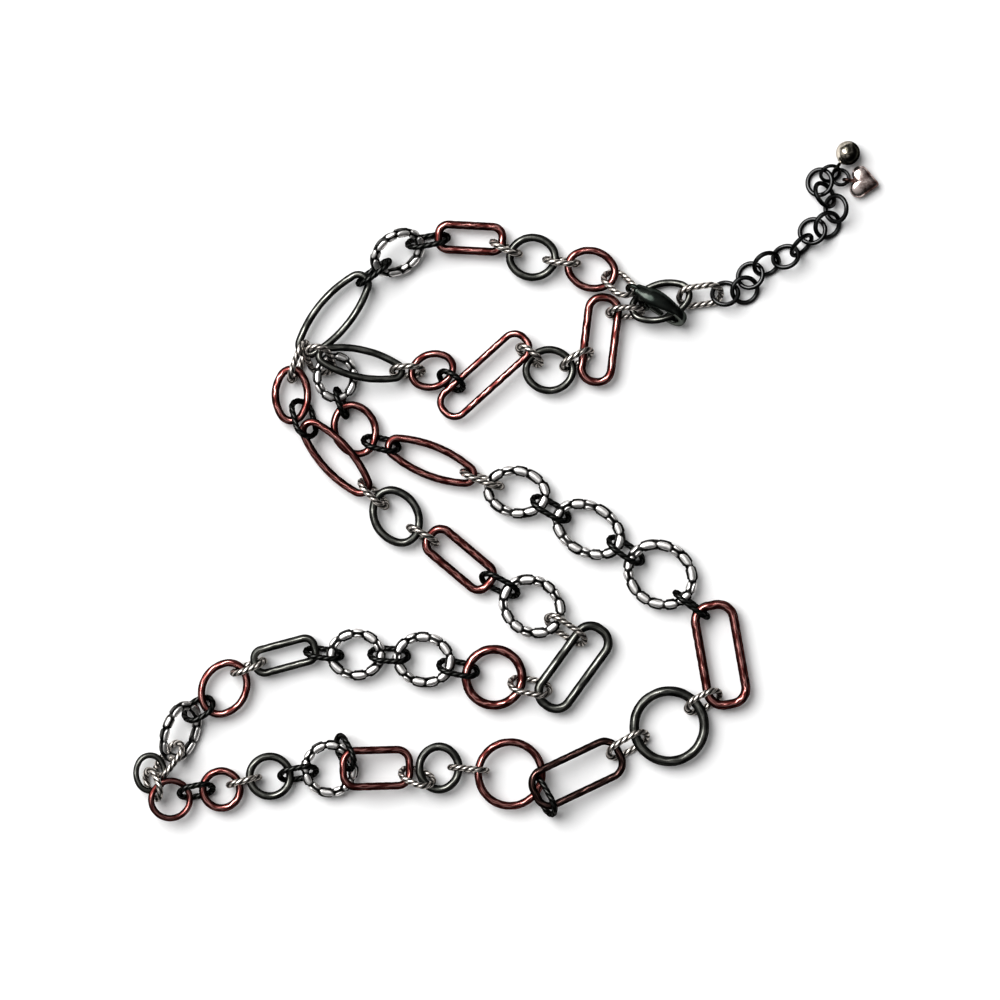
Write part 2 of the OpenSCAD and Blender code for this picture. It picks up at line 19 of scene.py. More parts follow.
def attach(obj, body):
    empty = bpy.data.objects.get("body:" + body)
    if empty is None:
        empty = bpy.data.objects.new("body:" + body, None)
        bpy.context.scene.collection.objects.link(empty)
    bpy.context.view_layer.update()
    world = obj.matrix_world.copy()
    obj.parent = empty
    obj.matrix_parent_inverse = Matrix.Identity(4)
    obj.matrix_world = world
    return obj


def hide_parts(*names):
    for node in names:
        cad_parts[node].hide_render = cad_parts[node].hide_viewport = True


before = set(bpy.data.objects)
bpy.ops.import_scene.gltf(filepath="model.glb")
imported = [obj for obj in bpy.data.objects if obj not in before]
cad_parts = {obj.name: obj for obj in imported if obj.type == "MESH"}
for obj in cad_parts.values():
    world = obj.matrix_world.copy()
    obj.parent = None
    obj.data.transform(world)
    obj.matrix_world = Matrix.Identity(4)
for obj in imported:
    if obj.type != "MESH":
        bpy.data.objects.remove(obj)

LOG = logging.getLogger("necklace")

# Metres in a millimetre, and the origin's place in the tables.
MM = 0.001
LAY_X = 126.5
LAY_Y = 129.6
# Sizes that the part's source shares between pieces.
TWIST_WIRE = 1.4
DARK_WIRE = 1.3
CONNECTOR_WIDTH = 7.2
RING_SIZE = 7.5
RING_WIRE = 1.05
CHARM_WIRE = 0.8
# Room between a connector and its link, and how far a link rides above the connectors' wire.
GAP = 0.15
RIDE = 0.35
# Samples along each run when the nearest point of a link is looked for.
SAMPLES = 12
# Distance within which points are one, the power of a bar's soft corners, and the length of its blunt end.
MERGE = 0.001
BAR_SQUARENESS = 3.2
BAR_END = 0.4

Color = tuple[float, float, float]
Relief = Callable[[float, float], tuple[float, float]]


class Slot(Enum):
    """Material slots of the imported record."""

    COPPER = "antique_copper"
    BRONZE = "dark_bronze"
    GUNMETAL = "gunmetal"
    SILVER = "pebbled_silver"
    TWISTED = "twisted_wire"
    DARK = "dark_wire"
    CLASP = "clasp_metal"
    RING = "ring_wire"
    BALL = "ball_metal"
    HEART = "heart_metal"


class Form(Enum):
    """Outline of a main link."""

    OVAL = "oval"
    BOX = "box"


@dataclass(frozen=True)
class MetalFinish:
    """An aged metal: dark in its recesses and where shade is painted on wire flanks, bright where it is
    rubbed and where highlights are painted.

    Colours are linear. Scales are in waves per metre, and the bump distance is in metres.
    """

    slot: Slot
    recess_and_painted_shade: Color
    body: Color
    rubbed_and_painted_highlight: Color
    body_at: float = 0.45
    rubbed_and_painted_highlight_at: float = 0.9
    rough_recess: float = 0.55
    rough_rubbed: float = 0.25
    patch_scale: float = 320.0
    patch_amount: float = 0.35
    grain_scale: float = 2600.0
    grain_bump: float = 0.25
    bump_distance: float = 0.00006
    edge_tint: Color = (0.3, 0.3, 0.3)

    def material(self) -> bpy.types.Material:
        """Builds the node material.

        Returns:
            The material, named after its slot.
        """
        material = bpy.data.materials.new(self.slot.value + "_finish")
        material.use_nodes = True
        nodes = material.node_tree.nodes
        links = material.node_tree.links
        shader = nodes["Principled BSDF"]
        shader.inputs["Metallic"].default_value = 1.0
        shader.inputs["Specular Tint"].default_value = (*self.edge_tint, 1.0)
        coordinates = nodes.new("ShaderNodeTexCoord")
        patches = nodes.new("ShaderNodeTexNoise")
        patches.inputs["Scale"].default_value = self.patch_scale
        patches.inputs["Detail"].default_value = 5.0
        patches.inputs["Roughness"].default_value = 0.62
        grain = nodes.new("ShaderNodeTexNoise")
        grain.inputs["Scale"].default_value = self.grain_scale
        grain.inputs["Detail"].default_value = 3.0
        for noise in (patches, grain):
            links.new(coordinates.outputs["Object"], noise.inputs["Vector"])
        relief = nodes.new("ShaderNodeAttribute")
        relief.attribute_name = "relief"
        spread = nodes.new("ShaderNodeMapRange")
        spread.inputs["From Min"].default_value = 0.3
        spread.inputs["From Max"].default_value = 0.7
        spread.inputs["To Min"].default_value = -self.patch_amount
        spread.inputs["To Max"].default_value = self.patch_amount
        tone = nodes.new("ShaderNodeMath")
        tone.operation = "ADD"
        tone.use_clamp = True
        links.new(patches.outputs["Fac"], spread.inputs["Value"])
        links.new(relief.outputs["Fac"], tone.inputs[0])
        links.new(spread.outputs["Result"], tone.inputs[1])
        # The ramp's dark end is recess patina and also painted shade on wire flanks; its bright end is
        # rubbed metal and also painted highlights.
        ramp = nodes.new("ShaderNodeValToRGB")
        ramp.color_ramp.elements[0].color = (*self.recess_and_painted_shade, 1.0)
        middle = ramp.color_ramp.elements.new(self.body_at)
        middle.color = (*self.body, 1.0)
        ramp.color_ramp.elements[-1].position = self.rubbed_and_painted_highlight_at
        ramp.color_ramp.elements[-1].color = (*self.rubbed_and_painted_highlight, 1.0)
        links.new(tone.outputs["Value"], ramp.inputs["Fac"])
        links.new(ramp.outputs["Color"], shader.inputs["Base Color"])
        polish = nodes.new("ShaderNodeMapRange")
        polish.inputs["To Min"].default_value = self.rough_recess
        polish.inputs["To Max"].default_value = self.rough_rubbed
        links.new(tone.outputs["Value"], polish.inputs["Value"])
        links.new(polish.outputs["Result"], shader.inputs["Roughness"])
        bump = nodes.new("ShaderNodeBump")
        bump.inputs["Strength"].default_value = self.grain_bump
        bump.inputs["Distance"].default_value = self.bump_distance
        links.new(grain.outputs["Fac"], bump.inputs["Height"])
        links.new(bump.outputs["Normal"], shader.inputs["Normal"])
        return material


FINISHES = (
    MetalFinish(Slot.COPPER, recess_and_painted_shade=(0.007, 0.003, 0.002), body=(0.135, 0.034, 0.03),
                rubbed_and_painted_highlight=(0.68, 0.34, 0.31),
                patch_amount=0.12, rough_recess=0.38, rough_rubbed=0.2, grain_bump=0.12),
    MetalFinish(Slot.BRONZE, recess_and_painted_shade=(0.006, 0.004, 0.003), body=(0.032, 0.017, 0.015),
                rubbed_and_painted_highlight=(0.3, 0.18, 0.16),
                patch_amount=0.12, rough_recess=0.38, rough_rubbed=0.2, grain_bump=0.12),
    MetalFinish(Slot.GUNMETAL, recess_and_painted_shade=(0.006, 0.006, 0.006), body=(0.068, 0.069, 0.063),
                rubbed_and_painted_highlight=(0.3, 0.3, 0.275),
                patch_amount=0.2, rough_recess=0.4, rough_rubbed=0.24, grain_bump=0.1),
    MetalFinish(Slot.SILVER, recess_and_painted_shade=(0.002, 0.002, 0.002), body=(0.38, 0.37, 0.36),
                rubbed_and_painted_highlight=(1.0, 0.98, 0.96),
                body_at=0.6, patch_amount=0.1, rough_recess=0.6, rough_rubbed=0.36, grain_bump=0.25),
    MetalFinish(Slot.TWISTED, recess_and_painted_shade=(0.005, 0.004, 0.004), body=(0.2, 0.185, 0.17),
                rubbed_and_painted_highlight=(0.8, 0.75, 0.7),
                patch_amount=0.14, rough_recess=0.45, rough_rubbed=0.26, grain_bump=0.1),
    MetalFinish(Slot.DARK, recess_and_painted_shade=(0.003, 0.003, 0.003), body=(0.008, 0.009, 0.008),
                rubbed_and_painted_highlight=(0.045, 0.045, 0.043),
                patch_amount=0.15, rough_recess=0.36, rough_rubbed=0.22, grain_bump=0.1),
    MetalFinish(Slot.CLASP, recess_and_painted_shade=(0.006, 0.007, 0.006), body=(0.028, 0.034, 0.03),
                rubbed_and_painted_highlight=(0.14, 0.15, 0.135),
                patch_amount=0.12, rough_recess=0.3, rough_rubbed=0.16, grain_bump=0.05),
    MetalFinish(Slot.RING, recess_and_painted_shade=(0.004, 0.004, 0.004), body=(0.016, 0.017, 0.017),
                rubbed_and_painted_highlight=(0.09, 0.09, 0.09),
                patch_amount=0.1, rough_recess=0.32, rough_rubbed=0.18, grain_bump=0.04),
    MetalFinish(Slot.BALL, recess_and_painted_shade=(0.008, 0.008, 0.007), body=(0.07, 0.066, 0.052),
                rubbed_and_painted_highlight=(0.85, 0.78, 0.68),
                patch_scale=420.0, patch_amount=0.5, rough_recess=0.26, rough_rubbed=0.16, grain_bump=0.08),
    MetalFinish(Slot.HEART, recess_and_painted_shade=(0.014, 0.007, 0.006), body=(0.2, 0.125, 0.11),
                rubbed_and_painted_highlight=(0.95, 0.82, 0.78),
                patch_scale=420.0, patch_amount=0.45, rough_recess=0.36, rough_rubbed=0.2, grain_bump=0.1),
)


@dataclass(frozen=True)
class Station:
    """Place on the middle line of a wire, in the plane of its loop."""

    x: float
    y: float
    heading: float
    along: float

    def place(self, twist: float) -> Matrix:
        """Matrix that puts a section here. Its X points outwards and its Y up.

        Args:
            twist: Turn of the section about the line, in degrees.

        Returns:
            The matrix, in millimetres.
        """
        h = math.radians(self.heading)
        basis = Matrix(((math.sin(h), 0, -math.cos(h)), (-math.cos(h), 0, -math.sin(h)), (0, 1, 0))).to_4x4()
        turn = Matrix.Rotation(math.radians(twist), 4, "Z")
        return Matrix.Translation((self.x, self.y, 0)) @ basis @ turn


@dataclass(frozen=True)
class Bend:
    """Arc of a wire's middle line, run anticlockwise."""

    x: float
    y: float
    radius: float
    start: float
    end: float

    def length(self) -> float:
        """Length of the arc."""
        return self.radius * math.radians(self.end - self.start)

    def at(self, share: float) -> tuple[float, float, float]:
        """Place and heading at a share of the arc.

        Args:
            share: From 0 at the start to 1 at the end.

        Returns:
            X, Y and heading in degrees.
        """
        angle = self.start + (self.end - self.start) * share
        a = math.radians(angle)
        return self.x + self.radius * math.cos(a), self.y + self.radius * math.sin(a), angle + 90


@dataclass(frozen=True)
class Strand:
    """Straight run of a wire's middle line."""

    x: float
    y: float
    heading: float
    run: float

    def length(self) -> float:
        """Length of the run."""
        return self.run

    def at(self, share: float) -> tuple[float, float, float]:
        """Place and heading at a share of the run.

        Args:
            share: From 0 at the start to 1 at the end.

        Returns:
            X, Y and heading in degrees.
        """
        h = math.radians(self.heading)
        return self.x + self.run * share * math.cos(h), self.y + self.run * share * math.sin(h), self.heading


Run = Bend | Strand


def stations(runs: list[Run], step: float) -> tuple[list[Station], float]:
    """Spaces stations along the runs of a line.

    Args:
        runs: Bends and strands in order, each starting where the last one ends.
        step: Distance wanted between stations.

    Returns:
        The stations, without one at the very end, and the whole length.
    """
    found: list[Station] = []
    along = 0.0
    for run in runs:
        length = run.length()
        count = max(2, round(length / step))
        for i in range(count):
            x, y, heading = run.at(i / count)
            found.append(Station(x, y, heading, along + length * i / count))
        along += length
    return found, along


def wire_loop(runs: list[Run], radius: float, sides: int, step: float, relief: Relief,
              turns: int = 0) -> bmesh.types.BMesh:
    """Sweeps a round section round a closed line and works its surface.

    Args:
        runs: The closed line.
        radius: Radius of the wire.
        sides: Number of sides of the section.
        step: Distance between sections.
        relief: Gives radius and tone from the angle round the wire and the distance along it.
        turns: Whole turns of the section on the way round.

    Returns:
        A closed mesh in the plane of the loop, in millimetres.
    """
    line, length = stations(runs, step)
    places = [s.place(turns * 360.0 * s.along / length) for s in line]
    places.append(places[0])
    mesh = bmesh.new()
    tone = mesh.verts.layers.float.new("relief")
    ring = bmesh.ops.create_circle(mesh, cap_ends=False, segments=sides, radius=radius)["verts"]
    edges = list({edge for vert in ring for edge in vert.link_edges})
    bmesh.ops.transform(mesh, matrix=places[0], verts=ring)
    rings = [ring]
    for before, after in zip(places, places[1:]):
        grown = bmesh.ops.extrude_edge_only(mesh, edges=edges)["geom"]
        ring = [part for part in grown if isinstance(part, bmesh.types.BMVert)]
        edges = [part for part in grown if isinstance(part, bmesh.types.BMEdge) and part.is_boundary]
        bmesh.ops.transform(mesh, matrix=after @ before.inverted(), verts=ring)
        rings.append(ring)
    for index, ring in enumerate(rings):
        place = places[index]
        home = place.inverted()
        along = line[index % len(line)].along
        for vert in ring:
            seen = home @ vert.co
            angle = math.atan2(seen.y, seen.x)
            reach, shade = relief(math.degrees(angle), along)
            vert.co = place @ Vector((reach * math.cos(angle), reach * math.sin(angle), 0))
            vert[tone] = shade
    bmesh.ops.remove_doubles(mesh, verts=rings[0] + rings[-1], dist=MERGE)
    bmesh.ops.recalc_face_normals(mesh, faces=mesh.faces)
    return mesh


def ring_runs(bend: float) -> list[Run]:
    """The middle line of a round ring, from its radius."""
    return [Bend(0, 0, bend, 0, 180), Bend(0, 0, bend, 180, 360)]


def angle_between(first: float, second: float) -> float:
    """Difference of two angles, from -180 to 180 degrees."""
    return (first - second + 180.0) % 360.0 - 180.0


def distance_round(first: float, second: float, length: float) -> float:
    """Difference of two distances along a closed line."""
    return (first - second + length / 2) % length - length / 2


@dataclass(frozen=True)
class Ripple:
    """Smooth wave that closes on itself round a loop."""

    waves: tuple[tuple[int, float, float], ...]

    @classmethod
    def drawn(cls, draw: random.Random, length: float, wave: float) -> "Ripple":
        """Draws a wave.

        Args:
            draw: Source of the random numbers.
            length: Length of the loop.
            wave: Usual distance between two crests.

        Returns:
            The wave, mostly between -1 and 1.
        """
        usual = max(2, round(length / wave))
        return cls(tuple((max(1, usual + draw.randint(-usual // 2, usual // 2)), draw.uniform(0, math.tau),
                          draw.uniform(0.35, 0.65)) for _ in range(3)))

    def at(self, share: float) -> float:
        """Height of the wave at a share of the loop."""
        return sum(size * math.sin(math.tau * turns * share + phase) for turns, phase, size in self.waves)


@dataclass
class Forged:
    """Forged wire: long flats that meet in wavy ridges, dark on the flanks from patina and painted shade,
    and rubbed along the ridges, where highlight lines are also painted.
    """

    radius: float
    length: float
    seed: int
    ridges: tuple[float, ...] = (12.0, 45.0, 77.0, 106.0, 138.0, 170.0, 206.0, 240.0, 264.0, 292.0, 326.0)
    wander: float = 7.0
    wave: float = 3.2
    flatness: float = 1.0
    line: float = 7.0
    base: float = 0.38
    bright: float = 1.1
    paths: list[tuple[Ripple, Ripple]] = field(default_factory=list)
    here: float = -1.0
    crests: list[tuple[float, float]] = field(default_factory=list)

    def __post_init__(self) -> None:
        """Draws how every ridge wanders and where it is rubbed."""
        draw = random.Random(self.seed)
        for _ in self.ridges:
            self.paths.append((Ripple.drawn(draw, self.length, self.wave),
                               Ripple.drawn(draw, self.length, 1.7 * self.wave)))

    def settle(self, along: float) -> None:
        """Works out where each ridge is, how rubbed it is and how bright its painted highlight is, at a
        distance along the loop.
        """
        share = along / self.length
        self.here = along
        self.crests = [(angle + self.wander * path.at(share), min(1.0, max(0.0, 0.65 + 0.6 * rub_and_highlight.at(share))))
                       for angle, (path, rub_and_highlight) in zip(self.ridges, self.paths)]

    def relief(self, angle: float, along: float) -> tuple[float, float]:
        """Radius and tone at a place on the wire.

        Args:
            angle: Degrees round the wire, from its outer side over the top.
            along: Distance along the loop.

        Returns:
            The radius and the tone.
        """
        if along != self.here:
            self.settle(along)
        worn_and_highlight = 0.0
        after, before = 360.0, 360.0
        for crest, rub_and_highlight in self.crests:
            off = angle_between(angle, crest)
            worn_and_highlight = max(worn_and_highlight, rub_and_highlight * math.exp(-(off / self.line) ** 2))
            if off >= 0:
                before = min(before, off)
            else:
                after = min(after, -off)
        half = math.radians(before + after) / 2
        flat = math.cos(half) / math.cos(half - math.radians(before))
        reach = self.radius * (1 - self.flatness * (1 - flat))
        # Painted light: the flanks are toned dark as patina and painted shade, and the ridges bright as wear
        # and painted highlight lines.
        crown = math.sin(math.radians(angle)) ** 2
        return reach, self.base * crown ** 1.5 + self.bright * worn_and_highlight * crown


@dataclass
class Satin:
    """Plain round wire, paler on its two faces and darker on its flanks, partly wear and partly painted
    shade.
    """

    radius: float
    low: float = 0.2
    high: float = 0.75

    def relief(self, angle: float, along: float) -> tuple[float, float]:
        """Radius and tone at a place on the wire, from its angle and its distance along."""
        # Flanks toned darker: partly wear, partly painted shade.
        crown = abs(math.sin(math.radians(angle))) ** 1.5
        return self.radius, self.low + (self.high - self.low) * crown


@dataclass(frozen=True)
class Pebble:
    """One raised cell on a wire: its place, half its length, and half the angle that it spans."""

    along: float
    facing: float
    half: float
    spread: float
    power: float
    slant: float
    shade: float

    def off(self, angle: float, along: float, length: float) -> float:
        """How far a place is from the middle of the cell. It is 1 on the cell's edge.

        Args:
            angle: Degrees round the wire.
            along: Distance along the loop.
            length: Length of the loop.

        Returns:
            The distance, as a share of the way to the edge.
        """
        across = angle_between(angle, self.facing) / self.spread
        down = distance_round(along, self.along, length) / self.half + self.slant * across
        return (abs(across) ** self.power + abs(down) ** self.power) ** (1 / self.power)


@dataclass
class Pebbled:
    """Wire covered in raised cells: broad ones on its faces, and pairs of half moons between them."""

    radius: float
    length: float
    seed: int
    broad: float = 3.7
    paired: float = 2.6
    groove: float = 0.34
    depth: float = 0.34
    cells: list[Pebble] = field(default_factory=list)
    here: float = -1.0
    close: list[Pebble] = field(default_factory=list)

    def __post_init__(self) -> None:
        """Lays out the cells round the loop, on the top and on the underside."""
        draw = random.Random(self.seed)
        for side in (0.0, 180.0):
            self.lay_out(draw, side)

    def lay_out(self, draw: random.Random, side: float) -> None:
        """Lays out the cells of one face.

        Args:
            draw: Source of the random numbers.
            side: Angle of the face from the top.
        """
        plan: list[tuple[bool, float]] = []
        total = 0.0
        broad = True
        while total < self.length - self.paired / 2:
            size = (self.broad if broad else self.paired) * draw.uniform(0.86, 1.12)
            plan.append((broad, size))
            total += size
            broad = not broad or draw.random() < 0.35
        scale = self.length / total
        start = draw.uniform(0.0, self.broad)
        for broad, size in plan:
            middle = start + size * scale / 2
            half = (size * scale - self.groove) / 2
            start += size * scale
            if broad:
                self.cells.append(Pebble(middle, side + 90 + draw.uniform(-6, 6), half + 0.1,
                                         50 + draw.uniform(-4, 3), 2.7, draw.uniform(-0.3, 0.3),
                                         draw.uniform(-0.08, 0.0)))
                # Cells on the flanks get a dark tone, as painted shade.
                for flank in (0.0, 180.0):
                    if side == 0.0:
                        self.cells.append(Pebble(middle, flank, half * 0.85, 16, 2.4, 0.0, -0.65))
            else:
                for facing in (40.0, 140.0):
                    self.cells.append(Pebble(middle, side + facing + draw.uniform(-3, 3), half + 0.12,
                                             37 + draw.uniform(-3, 2), 2.3, draw.uniform(-0.1, 0.1),
                                             draw.uniform(-0.12, 0.0)))

    def relief(self, angle: float, along: float) -> tuple[float, float]:
        """Radius and tone at a place on the wire.

        Args:
            angle: Degrees round the wire, from its outer side over the top.
            along: Distance along the loop.

        Returns:
            The radius and the tone.
        """
        if along != self.here:
            self.here = along
            self.close = [cell for cell in self.cells
                          if abs(distance_round(along, cell.along, self.length)) < cell.half * 1.4]
        near, shade = 2.0, 0.0
        for cell in self.close:
            off = cell.off(angle, along, self.length)
            if off < near:
                near, shade = off, cell.shade
        edge = min(1.0, max(0.0, (1.04 - near) / 0.22))
        raised = edge * edge * (3 - 2 * edge)
        dome = 0.05 * max(0.0, 1 - near)
        # Painted shade: the flanks of the wire are toned darker than its faces.
        crown = min(1.0, 0.35 + 0.95 * abs(math.sin(math.radians(angle))))
        return self.radius - self.depth * (1 - raised) - 0.05 + dome, raised * crown * (0.95 + shade)


@dataclass
class Rope:
    """Section of strands laid side by side. The sweep twists it."""

    radius: float
    core: float
    strands: int = 3
    gap_at: float = 0.79
    high: float = 1.0

    def relief(self, angle: float, along: float) -> tuple[float, float]:
        """Radius and tone at a place on the wire.

        Args:
            angle: Degrees round the wire, in its twisted section.
            along: Distance along the loop.

        Returns:
            The radius and the tone.
        """
        share = 360.0 / self.strands
        off = math.radians((angle + share / 2) % share - share / 2)
        size = self.radius - self.core
        reach = self.core * math.cos(off) + math.sqrt(max(0.0, size ** 2 - (self.core * math.sin(off)) ** 2))
        rise = min(1.0, max(0.0, (reach / self.radius - self.gap_at) / (1 - self.gap_at)))
        return reach, self.high * rise ** 1.4


def turned(x: float, y: float, z: float) -> Matrix:
    """Turn about X, then Y, then Z, in degrees."""
    return (Matrix.Rotation(math.radians(z), 4, "Z") @ Matrix.Rotation(math.radians(y), 4, "Y")
            @ Matrix.Rotation(math.radians(x), 4, "X"))


def laid(x: float, y: float, z: float) -> Vector:
    """A place in the tables, seen from the origin."""
    return Vector((x - LAY_X, y - LAY_Y, z))


def end_angle(a: float, b: float, r: float) -> float:
    """Half angle that the end arc of an oval covers, in whole hundredths of a degree.

    Args:
        a: Half length.
        b: Half width.
        r: End radius.

    Returns:
        The angle in degrees.
    """
    return round(100 * (90 - 2 * math.degrees(math.atan2(b - r, a - r)))) / 100


def end_radius(a: float, b: float, r: float) -> float:
    """Radius of an end arc that has exactly that angle."""
    k = math.tan(math.radians(45 - end_angle(a, b, r) / 2))
    return (b - k * a) / (1 - k)


def side_radius(a: float, b: float, r: float) -> float:
    """Radius of the long arcs of an oval, from its half length, half width and end radius."""
    tight = end_radius(a, b, r)
    return tight + (a - tight) / math.cos(math.radians(end_angle(a, b, r)))


@dataclass(frozen=True)
class Link:
    """A main link: sizes outside to outside, and where it lies."""

    name: str
    slot: Slot
    form: Form
    x: float
    y: float
    heading: float
    length: float
    width: float
    wire: float
    nose: float
    lift: float = 0.0
    pitch: float = 0.0
    roll: float = 0.0

    def half_length(self) -> float:
        """Half length of the middle line."""
        return (self.length - self.wire) / 2

    def half_width(self) -> float:
        """Half width of the middle line."""
        return (self.width - self.wire) / 2

    def place(self) -> Matrix:
        """Where the link lies."""
        middle = laid(self.x, self.y, TWIST_WIRE + RIDE + self.wire / 2 + self.lift)
        return Matrix.Translation(middle) @ turned(self.roll, -self.pitch, self.heading)

    def runs(self) -> list[Run]:
        """The middle line, anticlockwise from the end on +X."""
        a, b = self.half_length(), self.half_width()
        r = b * self.nose
        if self.form is Form.OVAL and self.length != self.width:
            side, e, tight = side_radius(a, b, r), end_angle(a, b, r), end_radius(a, b, r)
            return [Bend(a - tight, 0, tight, -e, e), Bend(0, b - side, side, e, 180 - e),
                    Bend(tight - a, 0, tight, 180 - e, 180 + e), Bend(0, side - b, side, 180 + e, 360 - e)]
        if self.form is Form.OVAL:
            return [Bend(0, 0, a, start, start + 90) for start in (0, 90, 180, 270)]
        return [Bend(a - r, b - r, r, 0, 90), Strand(a - r, b, 180, 2 * (a - r)),
                Bend(r - a, b - r, r, 90, 180), Strand(-a, b - r, 270, 2 * (b - r)),
                Bend(r - a, r - b, r, 180, 270), Strand(r - a, -b, 0, 2 * (a - r)),
                Bend(a - r, r - b, r, 270, 360), Strand(a, r - b, 90, 2 * (b - r))]

    def nearest(self, x: float, y: float) -> Vector:
        """Point of the middle line that is nearest in plan to a place.

        Args:
            x: Place along the table's X.
            y: Place along the table's Y.

        Returns:
            The point, as it lies.
        """
        place = self.place()
        wanted = laid(x, y, 0)
        points = []
        for run in self.runs():
            for i in range(SAMPLES + 1):
                px, py, _ = run.at(i / SAMPLES)
                points.append(place @ Vector((px, py, 0)))
        return min(points, key=lambda p: (p - wanted).xy.length)


COPPER, BRONZE, GUNMETAL, SILVER = Slot.COPPER, Slot.BRONZE, Slot.GUNMETAL, Slot.SILVER
OVAL, BOX = Form.OVAL, Form.BOX
LINKS = (
    Link("link_01_copper_ring", COPPER, OVAL, 147.8, 182.5, -17, 13.8, 11.2, 1.9, 0.8),
    Link("link_02_dark_ring", GUNMETAL, OVAL, 133.1, 185.5, 0, 13.3, 11.9, 2, 0.85),
    Link("link_03_copper_box", COPPER, BOX, 117.6, 190.3, -3, 18, 8.3, 2.05, 0.8),
    Link("link_04_pebble_oval", SILVER, OVAL, 99.5, 186.6, 35, 15, 12.4, 2.5, 0.85, 1.7, 0, 33),
    Link("link_05_dark_long_oval", GUNMETAL, OVAL, 83.5, 171.2, 50.7, 26.3, 10.3, 1.9, 0.6, 0.4, -0.7, -1.7),
    Link("link_06_copper_ring", COPPER, OVAL, 73, 151.2, 90, 14.8, 10, 1.95, 0.75),
    Link("link_07_copper_long_oval", COPPER, OVAL, 84.1, 135.6, -48, 24.3, 9.6, 1.95, 0.6, 1.2, -0.6, 13.8),
    Link("link_08_dark_ring", GUNMETAL, OVAL, 99.1, 120.9, -60, 15.9, 12.8, 2.05, 0.8),
    Link("link_09_copper_box", COPPER, BOX, 114.9, 110.2, -40, 21.1, 9.1, 2.2, 0.8),
    Link("link_10_pebble_oval", SILVER, OVAL, 133, 98.5, -35, 17.6, 15.3, 2.7, 0.88),
    Link("link_11_dark_paperclip", GUNMETAL, BOX, 143.3, 83.3, 54, 25.5, 10.6, 2.3, 0.9),
    Link("link_12_copper_ring", COPPER, OVAL, 123.5, 80.8, 0, 16.3, 16.3, 2.35, 1),
    Link("link_13_pebble_oval", SILVER, OVAL, 106, 85.2, -15, 15.9, 13.9, 2.6, 0.88),
    Link("link_14_pebble_oval", SILVER, OVAL, 89.1, 86.5, 0, 14.9, 13.1, 2.6, 0.88),
    Link("link_15_dark_box", GUNMETAL, BOX, 71.3, 86.2, 15, 17.4, 7.9, 1.95, 0.8),
    Link("link_16_copper_ring", COPPER, OVAL, 56.2, 78, 60, 15.4, 12.6, 1.9, 0.8),
    Link("link_17_pebble_oval", SILVER, OVAL, 45.4, 67.3, 72, 16.2, 11.6, 2.5, 0.85, 1.2, 3, 40),
    Link("link_18_dark_ring", GUNMETAL, OVAL, 37.8, 56.9, 92, 10.4, 8.6, 1.5, 0.9, 0.8, -4, 10),
    Link("link_19_copper_ring", COPPER, OVAL, 42.9, 50.4, 0, 11.4, 11, 1.6, 0.95, 1.5, -14, 2),
    Link("link_20_copper_ring", COPPER, OVAL, 55.5, 52.8, 0, 11.2, 11.2, 1.95, 1),
    Link("link_21_dark_ring", GUNMETAL, OVAL, 67.6, 56.1, 0, 12.1, 11.9, 2, 0.97),
    Link("link_22_pebble_ring", SILVER, OVAL, 82.5, 58, 0, 14.5, 14.5, 2.5, 1, 0, -5, 4),
    Link("link_23_copper_box", COPPER, BOX, 94.2, 58.2, 1, 18.65, 10.95, 1.95, 0.7, 1.8, -10, -2),
    Link("link_24_dark_ring", GUNMETAL, OVAL, 109.8, 58.2, 90, 12.8, 11.9, 2.1, 0.9, 0.5, 0.8),
    Link("link_25_copper_ring", COPPER, OVAL, 127.5, 56.7, 0, 17.9, 17.9, 2, 1, 0.4, -4),
    Link("link_26_bronze_box", BRONZE, BOX, 144.2, 56.9, 25, 25.2, 11.3, 1.9, 0.75, 1.6, -6.5, 6),
    Link("link_27_dark_ring", GUNMETAL, OVAL, 167.2, 68.6, 0, 20, 20, 2.5, 1),
    Link("link_28_copper_box", COPPER, BOX, 180, 86.4, 100, 27.4, 12, 2.35, 0.8),
    Link("link_29_pebble_oval", SILVER, OVAL, 165, 106.4, -35, 19.5, 17, 2.75, 0.88),
    Link("link_30_pebble_oval", SILVER, OVAL, 147.1, 117.7, -28, 19.5, 14.1, 2.7, 0.75),
    Link("link_31_pebble_oval", SILVER, OVAL, 129.2, 127, -10, 17, 13.2, 2.6, 0.8),
    Link("link_32_copper_long_oval", COPPER, OVAL, 107.8, 134.8, -22, 24.6, 9.3, 1.95, 0.6),
    Link("link_33_copper_ring", COPPER, OVAL, 88.8, 142.6, 110, 14.4, 12, 1.9, 0.8),
    Link("link_34_pebble_ring", SILVER, OVAL, 84, 155.6, 89.5, 12.8, 11.6, 2.3, 0.9, 0.4, -3, 12.7),
    Link("link_35_dark_long_oval", GUNMETAL, OVAL, 90.2, 159, -12.2, 23, 8.8, 1.85, 0.55, 2.2, -6.6, -11.2),
    Link("link_36_copper_ring", COPPER, OVAL, 108.1, 157.3, 20, 12.4, 10, 1.85, 0.8),
    Link("link_37_copper_paperclip", COPPER, BOX, 121.2, 156.1, 42, 28.8, 8.8, 1.8, 0.9, 0.9, 2, -6),
    Link("link_38_dark_ring", GUNMETAL, OVAL, 137.3, 157.4, 0, 13.5, 12.1, 1.9, 0.85),
    Link("link_39_copper_paperclip", COPPER, BOX, 149.9, 165, 83, 23.3, 9.5, 2.1, 0.9),
    Link("link_40_clasp_ring", GUNMETAL, OVAL, 165.1, 174.5, 20.3, 16.5, 11, 1.75, 0.7, 0.3, 0.8, -19.4),
)


